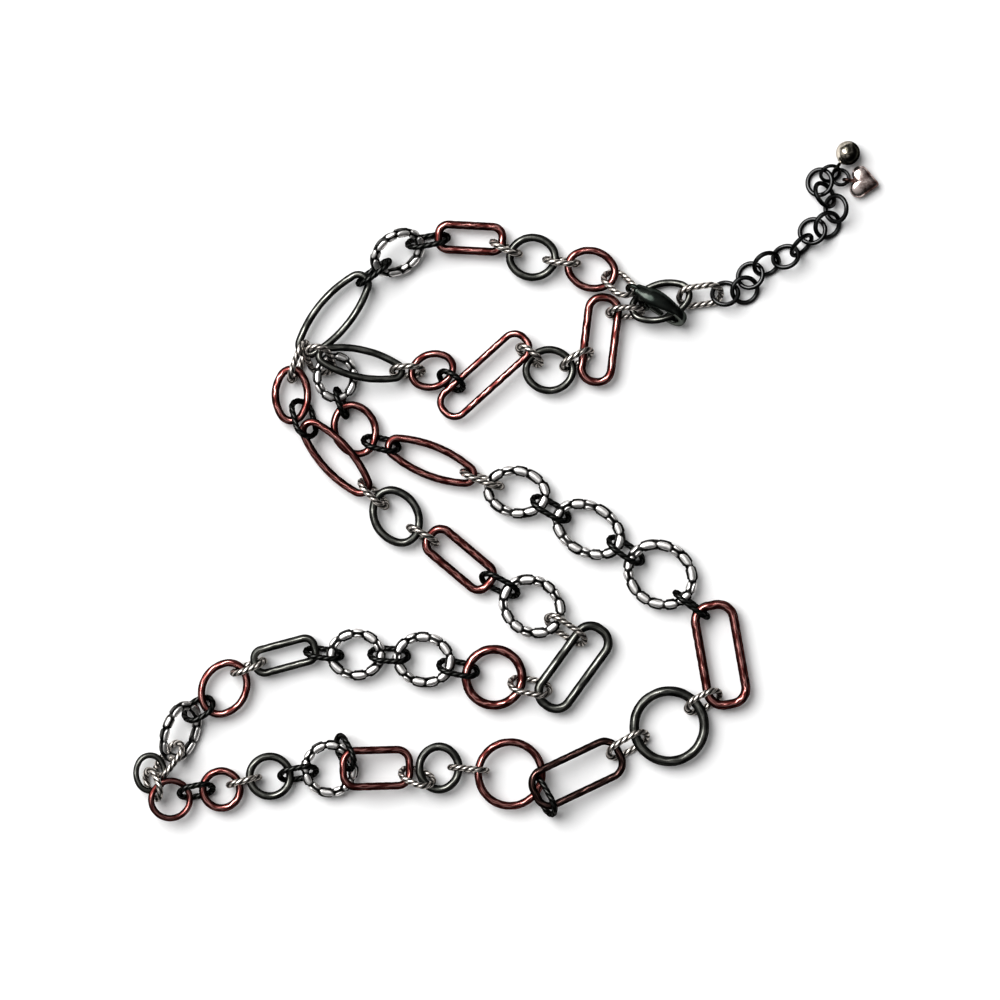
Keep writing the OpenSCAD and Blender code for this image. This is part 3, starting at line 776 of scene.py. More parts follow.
@dataclass(frozen=True)
class Laid:
    """A connector as it lies: place and length of its straight strands."""

    node: str
    slot: Slot
    place: Matrix
    straight: float

    def wire(self) -> float:
        """Thickness of the wire."""
        return TWIST_WIRE if self.slot is Slot.TWISTED else DARK_WIRE

    def runs(self) -> list[Run]:
        """The middle line: two round ends and two strands."""
        bend = (CONNECTOR_WIDTH - self.wire()) / 2
        half = self.straight / 2
        return [Bend(half, 0, bend, -90, 90), Strand(half, bend, 180, self.straight),
                Bend(-half, 0, bend, 90, 270), Strand(-half, -bend, 0, self.straight)]


def joined(node: str, slot: Slot, first: int, x: float, y: float, lean: float, turn: float,
           slack: float) -> Laid:
    """A connector that lies where two links meet.

    Args:
        node: Node that it belongs to.
        slot: Kind of wire.
        first: Number of the first of the two links.
        x: Where they meet, along the table's X.
        y: Where they meet, along the table's Y.
        lean: Degrees down from upright.
        turn: Degrees that it swings about its middle.
        slack: Extra length.

    Returns:
        The connector as it lies.
    """
    wire = TWIST_WIRE if slot is Slot.TWISTED else DARK_WIRE
    bend = (CONNECTOR_WIDTH - wire) / 2
    upright = bend * math.cos(math.radians(lean))
    rise = wire / 2 + upright
    pair = (LINKS[first - 1], LINKS[first])
    held = [link.nearest(x, y) for link in pair]
    tucks = []
    for link, point in zip(pair, held):
        room = upright - (link.wire + wire) / 2 - GAP
        tucks.append(math.sqrt(max(0.0, room ** 2 - (point.z - rise) ** 2)))
    run = held[1] - held[0]
    span = run.xy.length
    straight = round(100 * max(0.2, span - tucks[0] - tucks[1] + slack)) / 100
    middle = (held[0] + held[1]) / 2 + run * (tucks[0] - tucks[1]) / 2 / span
    heading = math.degrees(math.atan2(run.y, run.x)) + turn
    place = Matrix.Translation((middle.x, middle.y, rise)) @ turned(90 - lean, 0, heading)
    return Laid(node, slot, place, straight)


def crossed(node: str, slot: Slot, x: float, y: float, z: float, heading: float, lean: float, pitch: float,
            straight: float) -> Laid:
    """A connector that lies across links stacked on each other.

    Args:
        node: Node that it belongs to.
        slot: Kind of wire.
        x: Middle, along the table's X.
        y: Middle, along the table's Y.
        z: Height of the middle.
        heading: Degrees from +X.
        lean: Degrees down from upright.
        pitch: Degrees up from level.
        straight: Length of the strands.

    Returns:
        The connector as it lies.
    """
    place = Matrix.Translation(laid(x, y, z)) @ turned(90 - lean, -pitch, heading)
    return Laid(node, slot, place, straight)


TWISTED, DARK = Slot.TWISTED, Slot.DARK
CONNECTORS = (
    joined("twisted_connectors_1", TWISTED, 1, 140.1, 184.6, 10, 0, 0.3),
    joined("twisted_connectors_1", TWISTED, 2, 126.3, 188, 10, 0, 0.3),
    joined("dark_connectors_1", DARK, 3, 107.8, 190.2, 25, 0, 0.3),
    joined("dark_connectors_1", DARK, 4, 93.4, 181.4, 15, 0, 0.7),
    joined("twisted_connectors_2", TWISTED, 8, 105.7, 116.6, 10, 0, 0.3),
    joined("dark_connectors_2", DARK, 9, 125, 103.8, 30, 0, 0.3),
    joined("twisted_connectors_3", TWISTED, 10, 141.6, 92.6, 30, 0, 0.3),
    joined("twisted_connectors_3", TWISTED, 11, 132.6, 78.4, 35, 0, 0.3),
    joined("dark_connectors_2", DARK, 12, 114.5, 83, 30, 0, 0.3),
    joined("dark_connectors_2", DARK, 13, 97.3, 86.4, 30, 0, 0.3),
    joined("dark_connectors_2", DARK, 14, 80.8, 86.8, 20, 0, 0.4),
    joined("twisted_connectors_4", TWISTED, 15, 62.2, 83.6, 10, 0, 0.5),
    joined("dark_connectors_3", DARK, 19, 49.8, 52.8, 30, 0, 0.5),
    joined("twisted_connectors_5", TWISTED, 20, 61.1, 54.9, 5, 0, 0.3),
    joined("dark_connectors_3", DARK, 21, 74.4, 56.6, 30, 0, 0.3),
    joined("twisted_connectors_5", TWISTED, 24, 117.1, 58, 5, 0, 0.3),
    joined("twisted_connectors_6", TWISTED, 26, 157.2, 63.8, 35, 0, 0.3),
    joined("twisted_connectors_6", TWISTED, 27, 176.4, 75.2, 35, 0, 0.3),
    joined("dark_connectors_4", DARK, 28, 173, 98.5, 8, 0, 0.4),
    joined("dark_connectors_4", DARK, 29, 155.8, 113.4, 30, 0, 0.3),
    joined("dark_connectors_5", DARK, 30, 137.8, 123, 30, 0, 0.3),
    joined("twisted_connectors_7", TWISTED, 31, 120.5, 130.5, 10, 0, 1.4),
    joined("dark_connectors_5", DARK, 32, 95.1, 139.2, 28, 0, 0.6),
    joined("dark_connectors_5", DARK, 33, 85.1, 149.5, 10, 0, 0.5),
    joined("twisted_connectors_8", TWISTED, 35, 102.3, 157.2, 22, 0, 0.9),
    joined("dark_connectors_5", DARK, 36, 112.5, 155.2, 30, 0, 0.3),
    joined("twisted_connectors_8", TWISTED, 37, 132, 161.6, 20, 0, 1),
    joined("twisted_connectors_9", TWISTED, 38, 144, 160.6, 20, 10, 0.3),
    joined("twisted_connectors_9", TWISTED, 39, 155.8, 171.4, 20, 0, 0.4),
    crossed("twisted_connectors_2", TWISTED, 74.8, 159.5, 3.85, -110.5, -14.5, -8.7, 4.4),
    crossed("dark_connectors_1", DARK, 76.1, 145.3, 3.7, -75, -48.7, 24.8, 4.2),
    crossed("twisted_connectors_2", TWISTED, 93.5, 126.5, 3.5, -44.8, -16.6, 0, 3.2),
    crossed("dark_connectors_3", DARK, 49.8, 72.9, 2.8, 212, 45, 4, 1.9),
    crossed("twisted_connectors_4", TWISTED, 42.4, 60.4, 3.3, 233, 35, 1, 3.8),
    crossed("twisted_connectors_4", TWISTED, 38.5, 54.1, 3.7, -59, 35, 29, 2),
    crossed("dark_connectors_3", DARK, 86.4, 62.1, 4.3, -58, 35, 35, 3.5),
    crossed("twisted_connectors_5", TWISTED, 104.3, 56, 3.7, -24.8, -34.2, 22.2, 2.7),
    crossed("dark_connectors_4", DARK, 135.9, 51.2, 3.9, -60, 28, 13, 4.2),
    crossed("twisted_connectors_7", TWISTED, 80.1, 159.9, 5.2, 112.6, -69.3, 45.3, 3.8),
    crossed("twisted_connectors_9", TWISTED, 174.9, 176, 3.1, 8, 50, 0.3, 4.7),
    crossed("twisted_connectors_1", TWISTED, 154.7, 178.9, 4, -46.2, -52.4, 33.5, 3.4),
)


@dataclass(frozen=True)
class Ring:
    """A loose ring of the extender, or one that holds a charm."""

    x: float
    y: float
    roll: float
    size: float = RING_SIZE
    wire: float = RING_WIRE
    lift: float = 0.0


RINGS = (
    Ring(181.2, 176.5, -30), Ring(186.1, 177.4, 20), Ring(187.5, 181, -26), Ring(191.5, 183.9, 41),
    Ring(196.3, 185.7, -36), Ring(200.2, 188.5, 65), Ring(203, 192.1, -25), Ring(206.7, 193.6, 30),
    Ring(208.8, 197.7, -40), Ring(206, 201.1, 50), Ring(204.8, 204.3, -26),
    Ring(207.4, 206.5, 43, 5.6, CHARM_WIRE), Ring(210, 205.6, -22, 5, CHARM_WIRE, 0.25),
)
EXTENDER_RINGS = 11


@dataclass
class Workshop:
    """Holds the finished materials and turns meshes into pieces of the scene."""

    materials: dict[Slot, bpy.types.Material] = field(default_factory=dict)
    triangles: int = 0

    def __post_init__(self) -> None:
        """Builds every material once."""
        for finish in FINISHES:
            self.materials[finish.slot] = finish.material()

    def piece(self, node: str, parts: list[bmesh.types.BMesh], slot: Slot,
              body: str = "necklace") -> bpy.types.Object:
        """Joins meshes into one piece that stands for a node.

        Args:
            node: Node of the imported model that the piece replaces.
            parts: Meshes in millimetres, placed. They are freed.
            slot: Slot that the finish comes from.
            body: Body that the piece rides on.

        Returns:
            The new object.
        """
        data = bpy.data.meshes.new(node + "_detailed")
        whole = bmesh.new()
        for part in parts:
            part.to_mesh(data)
            part.free()
            whole.from_mesh(data)
        bmesh.ops.scale(whole, vec=(MM, MM, MM), verts=whole.verts)
        for face in whole.faces:
            face.smooth = True
        whole.to_mesh(data)
        whole.free()
        data.calc_loop_triangles()
        count = len(data.loop_triangles)
        self.triangles += count
        data.materials.append(self.materials[slot])
        made = bpy.data.objects.new(node + "_detailed", data)
        bpy.context.scene.collection.objects.link(made)
        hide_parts(node)
        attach(made, body)
        LOG.info("%s: %d triangles", node, count)
        return made


def placed(mesh: bmesh.types.BMesh, matrix: Matrix) -> bmesh.types.BMesh:
    """Moves a whole mesh and hands it back."""
    bmesh.ops.transform(mesh, matrix=matrix, verts=mesh.verts)
    return mesh


@dataclass
class MainLinks:
    """The forty main links."""

    plain_sides: int = 32
    plain_step: float = 0.32
    pebble_sides: int = 46
    pebble_step: float = 0.19
    seed: int = 40

    def mesh(self, number: int) -> bmesh.types.BMesh:
        """One link where it lies.

        Args:
            number: Its place in the table, from 0.

        Returns:
            Its mesh.
        """
        link = LINKS[number]
        runs = link.runs()
        length = sum(run.length() for run in runs)
        radius = link.wire / 2
        sides, step = self.plain_sides, self.plain_step
        if link.slot is Slot.SILVER:
            sides, step = self.pebble_sides, self.pebble_step
            surface = Pebbled(radius, length, self.seed + number)
        elif link.slot is Slot.GUNMETAL:
            surface = Forged(radius, length, self.seed + number, wander=6.0, wave=5.0, line=10.0, base=0.43,
                             bright=0.5)
        else:
            surface = Forged(radius, length, self.seed + number)
        return placed(wire_loop(runs, radius, sides, step, surface.relief), link.place())

    def build(self, shop: Workshop) -> None:
        """Builds every link and dresses it.

        Args:
            shop: Where the pieces are finished.
        """
        for number, link in enumerate(LINKS):
            shop.piece(link.name, [self.mesh(number)], link.slot)


@dataclass
class Connectors:
    """The small ovals of twisted wire that join the links."""

    sides: int = 24
    step: float = 0.25
    lay_length: float = 5.2
    fullness: float = 0.1
    twisted_core: float = 0.24
    dark_core: float = 0.18

    def mesh(self, row: Laid) -> bmesh.types.BMesh:
        """One connector where it lies.

        Args:
            row: The connector.

        Returns:
            Its mesh.
        """
        runs = row.runs()
        length = sum(run.length() for run in runs)
        turns = round(length / self.lay_length)
        core = self.twisted_core if row.slot is Slot.TWISTED else self.dark_core
        radius = row.wire() / 2 + self.fullness
        relief = Rope(radius, core=core).relief
        return placed(wire_loop(runs, radius, self.sides, self.step, relief, turns), row.place)

    def build(self, shop: Workshop) -> None:
        """Builds every connector node.

        Args:
            shop: Where the pieces are finished.
        """
        for node in dict.fromkeys(row.node for row in CONNECTORS):
            rows = [row for row in CONNECTORS if row.node == node]
            shop.piece(node, [self.mesh(row) for row in rows], rows[0].slot)


@dataclass
class Extender:
    """The loose rings of the extender and the two that hold the charms."""

    sides: int = 16
    step: float = 0.4
    fullness: float = 0.04

    def mesh(self, number: int) -> bmesh.types.BMesh:
        """One ring where it lies, turned along the line between its neighbours.

        Args:
            number: Its place in the table, from 0.

        Returns:
            Its mesh.
        """
        ring = RINGS[number]
        before, after = RINGS[max(number - 1, 0)], RINGS[min(number + 1, len(RINGS) - 1)]
        heading = math.degrees(math.atan2(after.y - before.y, after.x - before.x))
        bend = (ring.size - ring.wire) / 2
        height = ring.wire / 2 + bend * abs(math.sin(math.radians(ring.roll))) + ring.lift
        radius = ring.wire / 2 + self.fullness
        mesh = wire_loop(ring_runs(bend), radius, self.sides, self.step, Satin(radius).relief)
        return placed(mesh, Matrix.Translation(laid(ring.x, ring.y, height)) @ turned(ring.roll, 0, heading))

    def build(self, shop: Workshop) -> None:
        """Builds both nodes of rings.

        Args:
            shop: Where the pieces are finished.
        """
        shop.piece("extender_rings", [self.mesh(i) for i in range(EXTENDER_RINGS)], Slot.RING)
        shop.piece("charm_rings", [self.mesh(i) for i in range(EXTENDER_RINGS, len(RINGS))], Slot.RING)


def toned(mesh: bmesh.types.BMesh, shade: Callable[[Vector], float]) -> bmesh.types.BMesh:
    """Gives every vertex of a mesh its tone.

    Args:
        mesh: The mesh.
        shade: Tone from a place.

    Returns:
        The same mesh.
    """
    layer = mesh.verts.layers.float.get("relief") or mesh.verts.layers.float.new("relief")
    for vert in mesh.verts:
        vert[layer] = shade(vert.co)
    return mesh


def prism(outline: list[tuple[float, float]], low: float, high: float, bevel: float,
          segments: int = 3) -> bmesh.types.BMesh:
    """A plate with rounded edges, from its outline.

    Args:
        outline: Corners in order.
        low: Height of its underside.
        high: Height of its top.
        bevel: Radius of its edges.
        segments: Steps of each rounded edge.

    Returns:
        The mesh.
    """
    mesh = bmesh.new()
    mesh.verts.layers.float.new("relief")
    corners = [bmesh.ops.create_vert(mesh, co=(x, y, low))["vert"][0] for x, y in outline]
    face = bmesh.ops.contextual_create(mesh, geom=corners)["faces"][0]
    grown = bmesh.ops.extrude_face_region(mesh, geom=[face])["geom"]
    lifted = [part for part in grown if isinstance(part, bmesh.types.BMVert)]
    bmesh.ops.translate(mesh, vec=(0, 0, high - low), verts=lifted)
    bmesh.ops.recalc_face_normals(mesh, faces=mesh.faces)
    bmesh.ops.bevel(mesh, geom=mesh.edges[:], offset=bevel, offset_type="OFFSET", segments=segments,
                    profile=0.5, affect="EDGES", material=-1, clamp_overlap=True)
    return mesh


def round_outline(x: float, y: float, radius: float, count: int = 28) -> list[tuple[float, float]]:
    """Corners of a circle."""
    return [(x + radius * math.cos(math.tau * i / count), y + radius * math.sin(math.tau * i / count))
            for i in range(count)]


def bar(runs: list[Run], width: Callable[[float], float], depth: Callable[[float], float], step: float,
        sides: int = 20, shade: float = 0.5) -> bmesh.types.BMesh:
    """Sweeps a soft rectangular section along an open line, with rounded ends.

    Args:
        runs: The line.
        width: Width in the plane of the line, from the share of its length.
        depth: Width across that plane, from the same share.
        step: Distance between sections.
        sides: Number of sides of the section.
        shade: Tone of the flanks.

    Returns:
        The mesh.
    """
    line, length = stations(runs, step)
    x, y, heading = runs[-1].at(1.0)
    line.append(Station(x, y, heading, length))
    shares = [s.along / length for s in line]
    places = [s.place(0.0) for s in line]
    mesh = bmesh.new()
    tone = mesh.verts.layers.float.new("relief")
    ring = bmesh.ops.create_circle(mesh, cap_ends=True, segments=sides, radius=1)["verts"]
    edges = list({edge for vert in ring for edge in vert.link_edges})
    bmesh.ops.transform(mesh, matrix=places[0], verts=ring)
    rings = [ring]
    for before, after in zip(places, places[1:]):
        grown = bmesh.ops.extrude_edge_only(mesh, edges=edges)["geom"]
        ring = [part for part in grown if isinstance(part, bmesh.types.BMVert)]
        edges = [part for part in grown if isinstance(part, bmesh.types.BMEdge) and part.is_boundary]
        bmesh.ops.transform(mesh, matrix=after @ before.inverted(), verts=ring)
        rings.append(ring)
    bmesh.ops.contextual_create(mesh, geom=edges)
    power = 2 / BAR_SQUARENESS
    for ring, place, share in zip(rings, places, shares):
        home = place.inverted()
        near = min(share, 1 - share) * length
        blunt = math.sqrt(max(0.0, 1 - (1 - min(1.0, near / BAR_END)) ** 2)) * 0.45 + 0.55
        for vert in ring:
            seen = home @ vert.co
            angle = math.atan2(seen.y, seen.x)
            c, s = math.cos(angle), math.sin(angle)
            u = math.copysign(abs(c) ** power, c) * width(share) / 2 * blunt
            v = math.copysign(abs(s) ** power, s) * depth(share) / 2 * blunt
            vert.co = place @ Vector((u, v, 0))
            vert[tone] = shade + 0.35 * abs(s) ** 2
    bmesh.ops.recalc_face_normals(mesh, faces=mesh.faces)
    return mesh


def along_rows(rows: tuple[tuple[float, ...], ...], share: float) -> list[float]:
    """Smooth values between the rows of a table.

    Args:
        rows: At least two rows of the same length.
        share: From 0 at the first row to 1 at the last.

    Returns:
        The values there.
    """
    spot = min(share * (len(rows) - 1), len(rows) - 1.0001)
    i = int(spot)
    t = spot - i
    four = [rows[min(max(i + k, 0), len(rows) - 1)] for k in (-1, 0, 1, 2)]
    return [0.5 * (2 * q + (r - p) * t + (2 * p - 5 * q + 4 * r - s) * t * t
                   + (3 * q - p - 3 * r + s) * t ** 3)
            for p, q, r, s in zip(*four)]


def swell(rows: tuple[tuple[float, float, float, float], ...], sides: int = 36,
          count: int = 26) -> bmesh.types.BMesh:
    """A smooth swelled body with domed ends.

    Args:
        rows: X, Y, half width and half thickness down its middle line.
        sides: Number of sides of its section.
        count: Number of sections.

    Returns:
        The mesh.
    """
    first, last = rows[0], rows[-1]
    sections: list[tuple[float, float, float, float, float]] = []
    for i in range(count + 1):
        x, y, width, depth = along_rows(rows, i / count)
        nx, ny, _, _ = along_rows(rows, min(1.0, (i + 1) / count))
        px, py, _, _ = along_rows(rows, max(0.0, (i - 1) / count))
        sections.append((x, y, math.degrees(math.atan2(ny - py, nx - px)), width, depth))
    domes = 6
    start, end = sections[0], sections[-1]
    for i in range(1, domes):
        shrink, push = math.cos(math.pi / 2 * i / domes), math.sin(math.pi / 2 * i / domes)
        for row, row_width, sign in ((start, first[2], -1), (end, last[2], 1)):
            h = math.radians(row[2])
            dome = (row[0] + sign * push * row_width * math.cos(h),
                    row[1] + sign * push * row_width * math.sin(h),
                    row[2], row[3] * shrink, row[4] * shrink)
            if sign < 0:
                sections.insert(0, dome)
            else:
                sections.append(dome)
    mesh = bmesh.new()
    mesh.verts.layers.float.new("relief")
    ring = bmesh.ops.create_circle(mesh, cap_ends=True, segments=sides, radius=1)["verts"]
    edges = list({edge for vert in ring for edge in vert.link_edges})
    before = Matrix.Identity(4)
    for number, (x, y, heading, width, depth) in enumerate(sections):
        if number:
            grown = bmesh.ops.extrude_edge_only(mesh, edges=edges)["geom"]
            ring = [part for part in grown if isinstance(part, bmesh.types.BMVert)]
            edges = [part for part in grown if isinstance(part, bmesh.types.BMEdge) and part.is_boundary]
        after = Station(x, y, heading, 0.0).place(0.0) @ Matrix.Diagonal((width, depth, 1.0, 1.0))
        bmesh.ops.transform(mesh, matrix=after @ before.inverted(), verts=ring)
        before = after
    bmesh.ops.contextual_create(mesh, geom=edges)
    bmesh.ops.recalc_face_normals(mesh, faces=mesh.faces)
    return toned(mesh, lambda co: 0.5)


@dataclass
class Clasp:
    """Lobster clasp: eye, neck and hook in one piece, and a lever that turns on a pin."""

    eye: tuple[float, float, float] = (158.6, 177, 5.4)
    angles: tuple[float, float, float] = (-114.9, 4.1, -31.7)
    thickness: float = 2.6
    eye_bend: float = 2.0
    eye_wire: float = 1.2
    eye_sides: int = 18
    eye_step: float = 0.3
    hook_x: float = 8.2
    hook_a: float = 5.6
    hook_b: float = 2.9
    hook_r: float = 2.3
    hook_bar: float = 1.7
    hook_start: float = 255.0
    nose_end: float = 82.6
    arm_start: float = 85.0
    arm_end: float = 106.6
    pin: tuple[float, float] = (4.0, 2.1)
    pin_size: float = 0.8
    slot: float = 1.6
    lever_gap: float = 0.15
    lever_bar: float = 1.3
    lever_root: float = 1.15
    cheek_edge: float = 0.16
    tab: tuple[float, float] = (3.7, 3.5)
    tab_radius: float = 0.6
    back: tuple[tuple[float, float, float, float], ...] = (
        (0.3, -1.5, 0.95, 1.5), (2.8, -1.6, 1.4, 2.1), (4.9, -2.3, 1.6, 2.4), (7.8, -2.9, 1.15, 2.0),
        (10.8, -2.7, 0.9, 1.4))
    cheek: tuple[tuple[float, float], ...] = (
        (1.8, -1.1), (1.5, 0), (1.8, 1.1), (2.3, 2.1), (3, 2.9), (3.6, 3.3), (4.3, 3.5), (5.2, 3.6),
        (5.6, 2.5), (4.3, 1.7), (3.7, 0.5), (3.7, -0.6), (3.4, -1.3), (2.6, -1.2))
    core: tuple[tuple[float, float], ...] = (
        (1.8, -1.1), (1.5, 0), (1.8, 1.1), (2.5, 1.9), (2.5, 0.75), (3.7, 0.6), (3.7, -0.6), (3.4, -1.3),
        (2.6, -1.2))

    def place(self) -> Matrix:
        """Where the clasp lies."""
        return Matrix.Translation(laid(*self.eye)) @ turned(*self.angles)

    def body(self) -> list[bmesh.types.BMesh]:
        """Eye, neck, hook and pin.

        Returns:
            Their meshes, placed.
        """
        side = side_radius(self.hook_a, self.hook_b, self.hook_r)
        e = end_angle(self.hook_a, self.hook_b, self.hook_r)
        tight = end_radius(self.hook_a, self.hook_b, self.hook_r)
        half = self.thickness / 2
        cheek = half - self.slot / 2
        eye = wire_loop(ring_runs(self.eye_bend), self.eye_wire / 2, self.eye_sides, self.eye_step,
                        Satin(self.eye_wire / 2).relief)
        hook = bar([Bend(self.hook_x, side - self.hook_b, side, self.hook_start, 360 - e),
                    Bend(self.hook_x + self.hook_a - tight, 0, tight, -e, e),
                    Bend(self.hook_x, self.hook_b - side, side, e, self.nose_end)],
                   lambda share: self.hook_bar * (1.0 + 0.12 * math.sin(math.pi * share)),
                   lambda share: self.thickness * (1.0 - 0.12 * share), 0.25)
        parts = [eye, hook, swell(self.back)]
        for low, high, outline in ((-half, -half + cheek, self.cheek), (half - cheek, half, self.cheek),
                                   (-half + cheek / 2, half - cheek / 2, self.core)):
            plate = prism(list(outline), low, high, self.cheek_edge)
            parts.append(toned(plate, lambda co: 0.45 + 0.3 * min(1.0, abs(co.z))))
        rivet = prism(round_outline(*self.pin, self.pin_size / 2), -half - 0.08, half + 0.08, 0.08)
        parts.append(toned(rivet, lambda co: 0.8))
        return [placed(part, self.place()) for part in parts]

    def lever(self) -> list[bmesh.types.BMesh]:
        """Root, arm and thumb tab of the lever.

        Returns:
            Their meshes, placed.
        """
        side = side_radius(self.hook_a, self.hook_b, self.hook_r)
        half = self.slot / 2 - self.lever_gap
        arm = bar([Bend(self.hook_x, self.hook_b - side, side, self.arm_start, self.arm_end)],
                  lambda share: self.lever_bar, lambda share: 2 * half, 0.25, shade=0.6)
        root = prism(round_outline(*self.pin, self.lever_root), -half, half, 0.12)
        tab = prism(round_outline(*self.tab, self.tab_radius), -half, half, 0.15)
        parts = [arm, toned(root, lambda co: 0.7), toned(tab, lambda co: 0.8)]
        return [placed(part, self.place()) for part in parts]

    def build(self, shop: Workshop) -> None:
        """Builds the body and the lever.

        Args:
            shop: Where the pieces are finished.
        """
        shop.piece("clasp_body", self.body(), Slot.CLASP)
        shop.piece("clasp_lever", self.lever(), Slot.CLASP, "lever")


@dataclass
class Charms:
    """The polished ball and the puffed heart at the end of the extender."""

    loop_bend: float = 1.1
    loop_sides: int = 14
    loop_step: float = 0.25
    ball_loop: tuple[float, float, float] = (208.95, 207.9, 3.0)
    ball_heading: float = 52.0
    ball_size: float = 6.0
    ball_x: float = 1.6
    cap_size: float = 1.8
    heart_loop: tuple[float, float, float] = (211.9, 204.85, 1.6)
    heart_heading: float = -8.0
    heart_thickness: float = 3.2
    lobe: tuple[float, float] = (2.8, 1.9)
    lobe_size: float = 4.2
    tip: float = 7.0
    tip_size: float = 1.4
    heart_rings: int = 12
    heart_sides: int = 72
    heart_centre: float = 3.4

    def loop(self) -> bmesh.types.BMesh:
        """Upright loop of a charm."""
        relief = Satin(CHARM_WIRE / 2, low=0.0, high=0.3).relief
        loop = wire_loop(ring_runs(self.loop_bend), CHARM_WIRE / 2, self.loop_sides, self.loop_step, relief)
        return placed(loop, turned(90, 0, 0))

    def ball(self) -> list[bmesh.types.BMesh]:
        """Loop, cap and ball.

        Returns:
            Their meshes, placed.
        """
        ball = bmesh.new()
        bmesh.ops.create_uvsphere(ball, u_segments=56, v_segments=32, radius=self.ball_size / 2)
        bmesh.ops.translate(ball, vec=(self.ball_x + self.ball_size / 2, 0, 0), verts=ball.verts)
        cap = prism(round_outline(0, 0, self.cap_size / 2), 0, 0.5, 0.12)
        stem = prism(round_outline(0, 0, 0.35), -0.5, 0.2, 0.02)
        middle = Vector((self.ball_x + self.ball_size / 2, 0, 0))
        # Painted highlight: the ball is toned paler on the side that faces the lamp and darker away from it.
        painted_light_tilt = turned(0, 0, -self.ball_heading) @ Vector((-0.12, 0.03, 0))
        parts = [self.loop(), toned(ball, lambda co: 0.45 + (co - middle).dot(painted_light_tilt))]
        for part in (cap, stem):
            upright = Matrix.Translation((self.ball_x - 0.05, 0, 0)) @ turned(0, 90, 0)
            parts.append(placed(toned(part, lambda co: 0.5), upright))
        place = Matrix.Translation(laid(*self.ball_loop)) @ turned(0, 0, self.ball_heading)
        return [placed(part, place) for part in parts]

    def outline_reach(self, angle: float, centre: float) -> float:
        """Distance from a point on the heart's axis to its outline.

        Args:
            angle: Direction in radians, from the tip's.
            centre: Where the point is along the axis.

        Returns:
            The distance.
        """
        best = 0.0
        steps = 24
        for i in range(steps + 1):
            share = i / steps
            x = self.lobe[0] + (self.tip - self.lobe[0]) * share - centre
            y = self.lobe[1] * (1 - share)
            radius = (self.lobe_size + (self.tip_size - self.lobe_size) * share) / 2
            c, s = math.cos(angle), abs(math.sin(angle))
            near = x * c + y * s
            off = x * x + y * y - radius * radius
            if near * near >= off:
                best = max(best, near + math.sqrt(near * near - off))
        return best

    def heart(self) -> list[bmesh.types.BMesh]:
        """Loop, neck and puffed heart with a plain face.

        Returns:
            Their meshes, placed.
        """
        mesh = bmesh.new()
        tone = mesh.verts.layers.float.new("relief")
        centre = self.heart_centre
        rim = bmesh.ops.create_circle(mesh, cap_ends=False, segments=self.heart_sides, radius=1)["verts"]
        edges = list({edge for vert in rim for edge in vert.link_edges})
        for vert in rim:
            angle = math.atan2(vert.co.y, vert.co.x)
            reach = self.outline_reach(angle, centre)
            vert.co = Vector((reach * math.cos(angle), reach * math.sin(angle), 0))
            vert[tone] = 0.9
        shares = [math.cos(math.pi / 2 * i / self.heart_rings) for i in range(1, self.heart_rings)]
        last = 1.0
        for share in shares:
            grown = bmesh.ops.extrude_edge_only(mesh, edges=edges)["geom"]
            ring = [part for part in grown if isinstance(part, bmesh.types.BMVert)]
            edges = [part for part in grown if isinstance(part, bmesh.types.BMEdge) and part.is_boundary]
            bmesh.ops.scale(mesh, vec=(share / last, share / last, 1), verts=ring)
            height = self.heart_thickness / 2 * math.sqrt(1 - share ** 2.6) ** 0.9
            for vert in ring:
                vert.co.z = height
                # Painted light: the face is toned paler at the lobes, on the side towards the lamp, and
                # darker towards the tip.
                vert[tone] = 0.76 - 0.11 * vert.co.x
            last = share
        bmesh.ops.contextual_create(mesh, geom=edges)
        bmesh.ops.mirror(mesh, geom=mesh.verts[:] + mesh.edges[:] + mesh.faces[:], merge_dist=MERGE,
                         axis="Z")
        bmesh.ops.remove_doubles(mesh, verts=mesh.verts, dist=MERGE)
        bmesh.ops.recalc_face_normals(mesh, faces=mesh.faces)
        bmesh.ops.translate(mesh, vec=(centre, 0, 0), verts=mesh.verts)
        neck = prism(round_outline(0, 0, 0.5), 1.2, 3.0, 0.05)
        parts = [self.loop(), mesh, placed(toned(neck, lambda co: 0.2), turned(0, 90, 0))]
        place = Matrix.Translation(laid(*self.heart_loop)) @ turned(0, 0, self.heart_heading)
        return [placed(part, place) for part in parts]

    def build(self, shop: Workshop) -> None:
        """Builds both charms.

        Args:
            shop: Where the pieces are finished.
        """
        shop.piece("ball_charm", self.ball(), Slot.BALL)
        shop.piece("heart_charm", self.heart(), Slot.HEART)


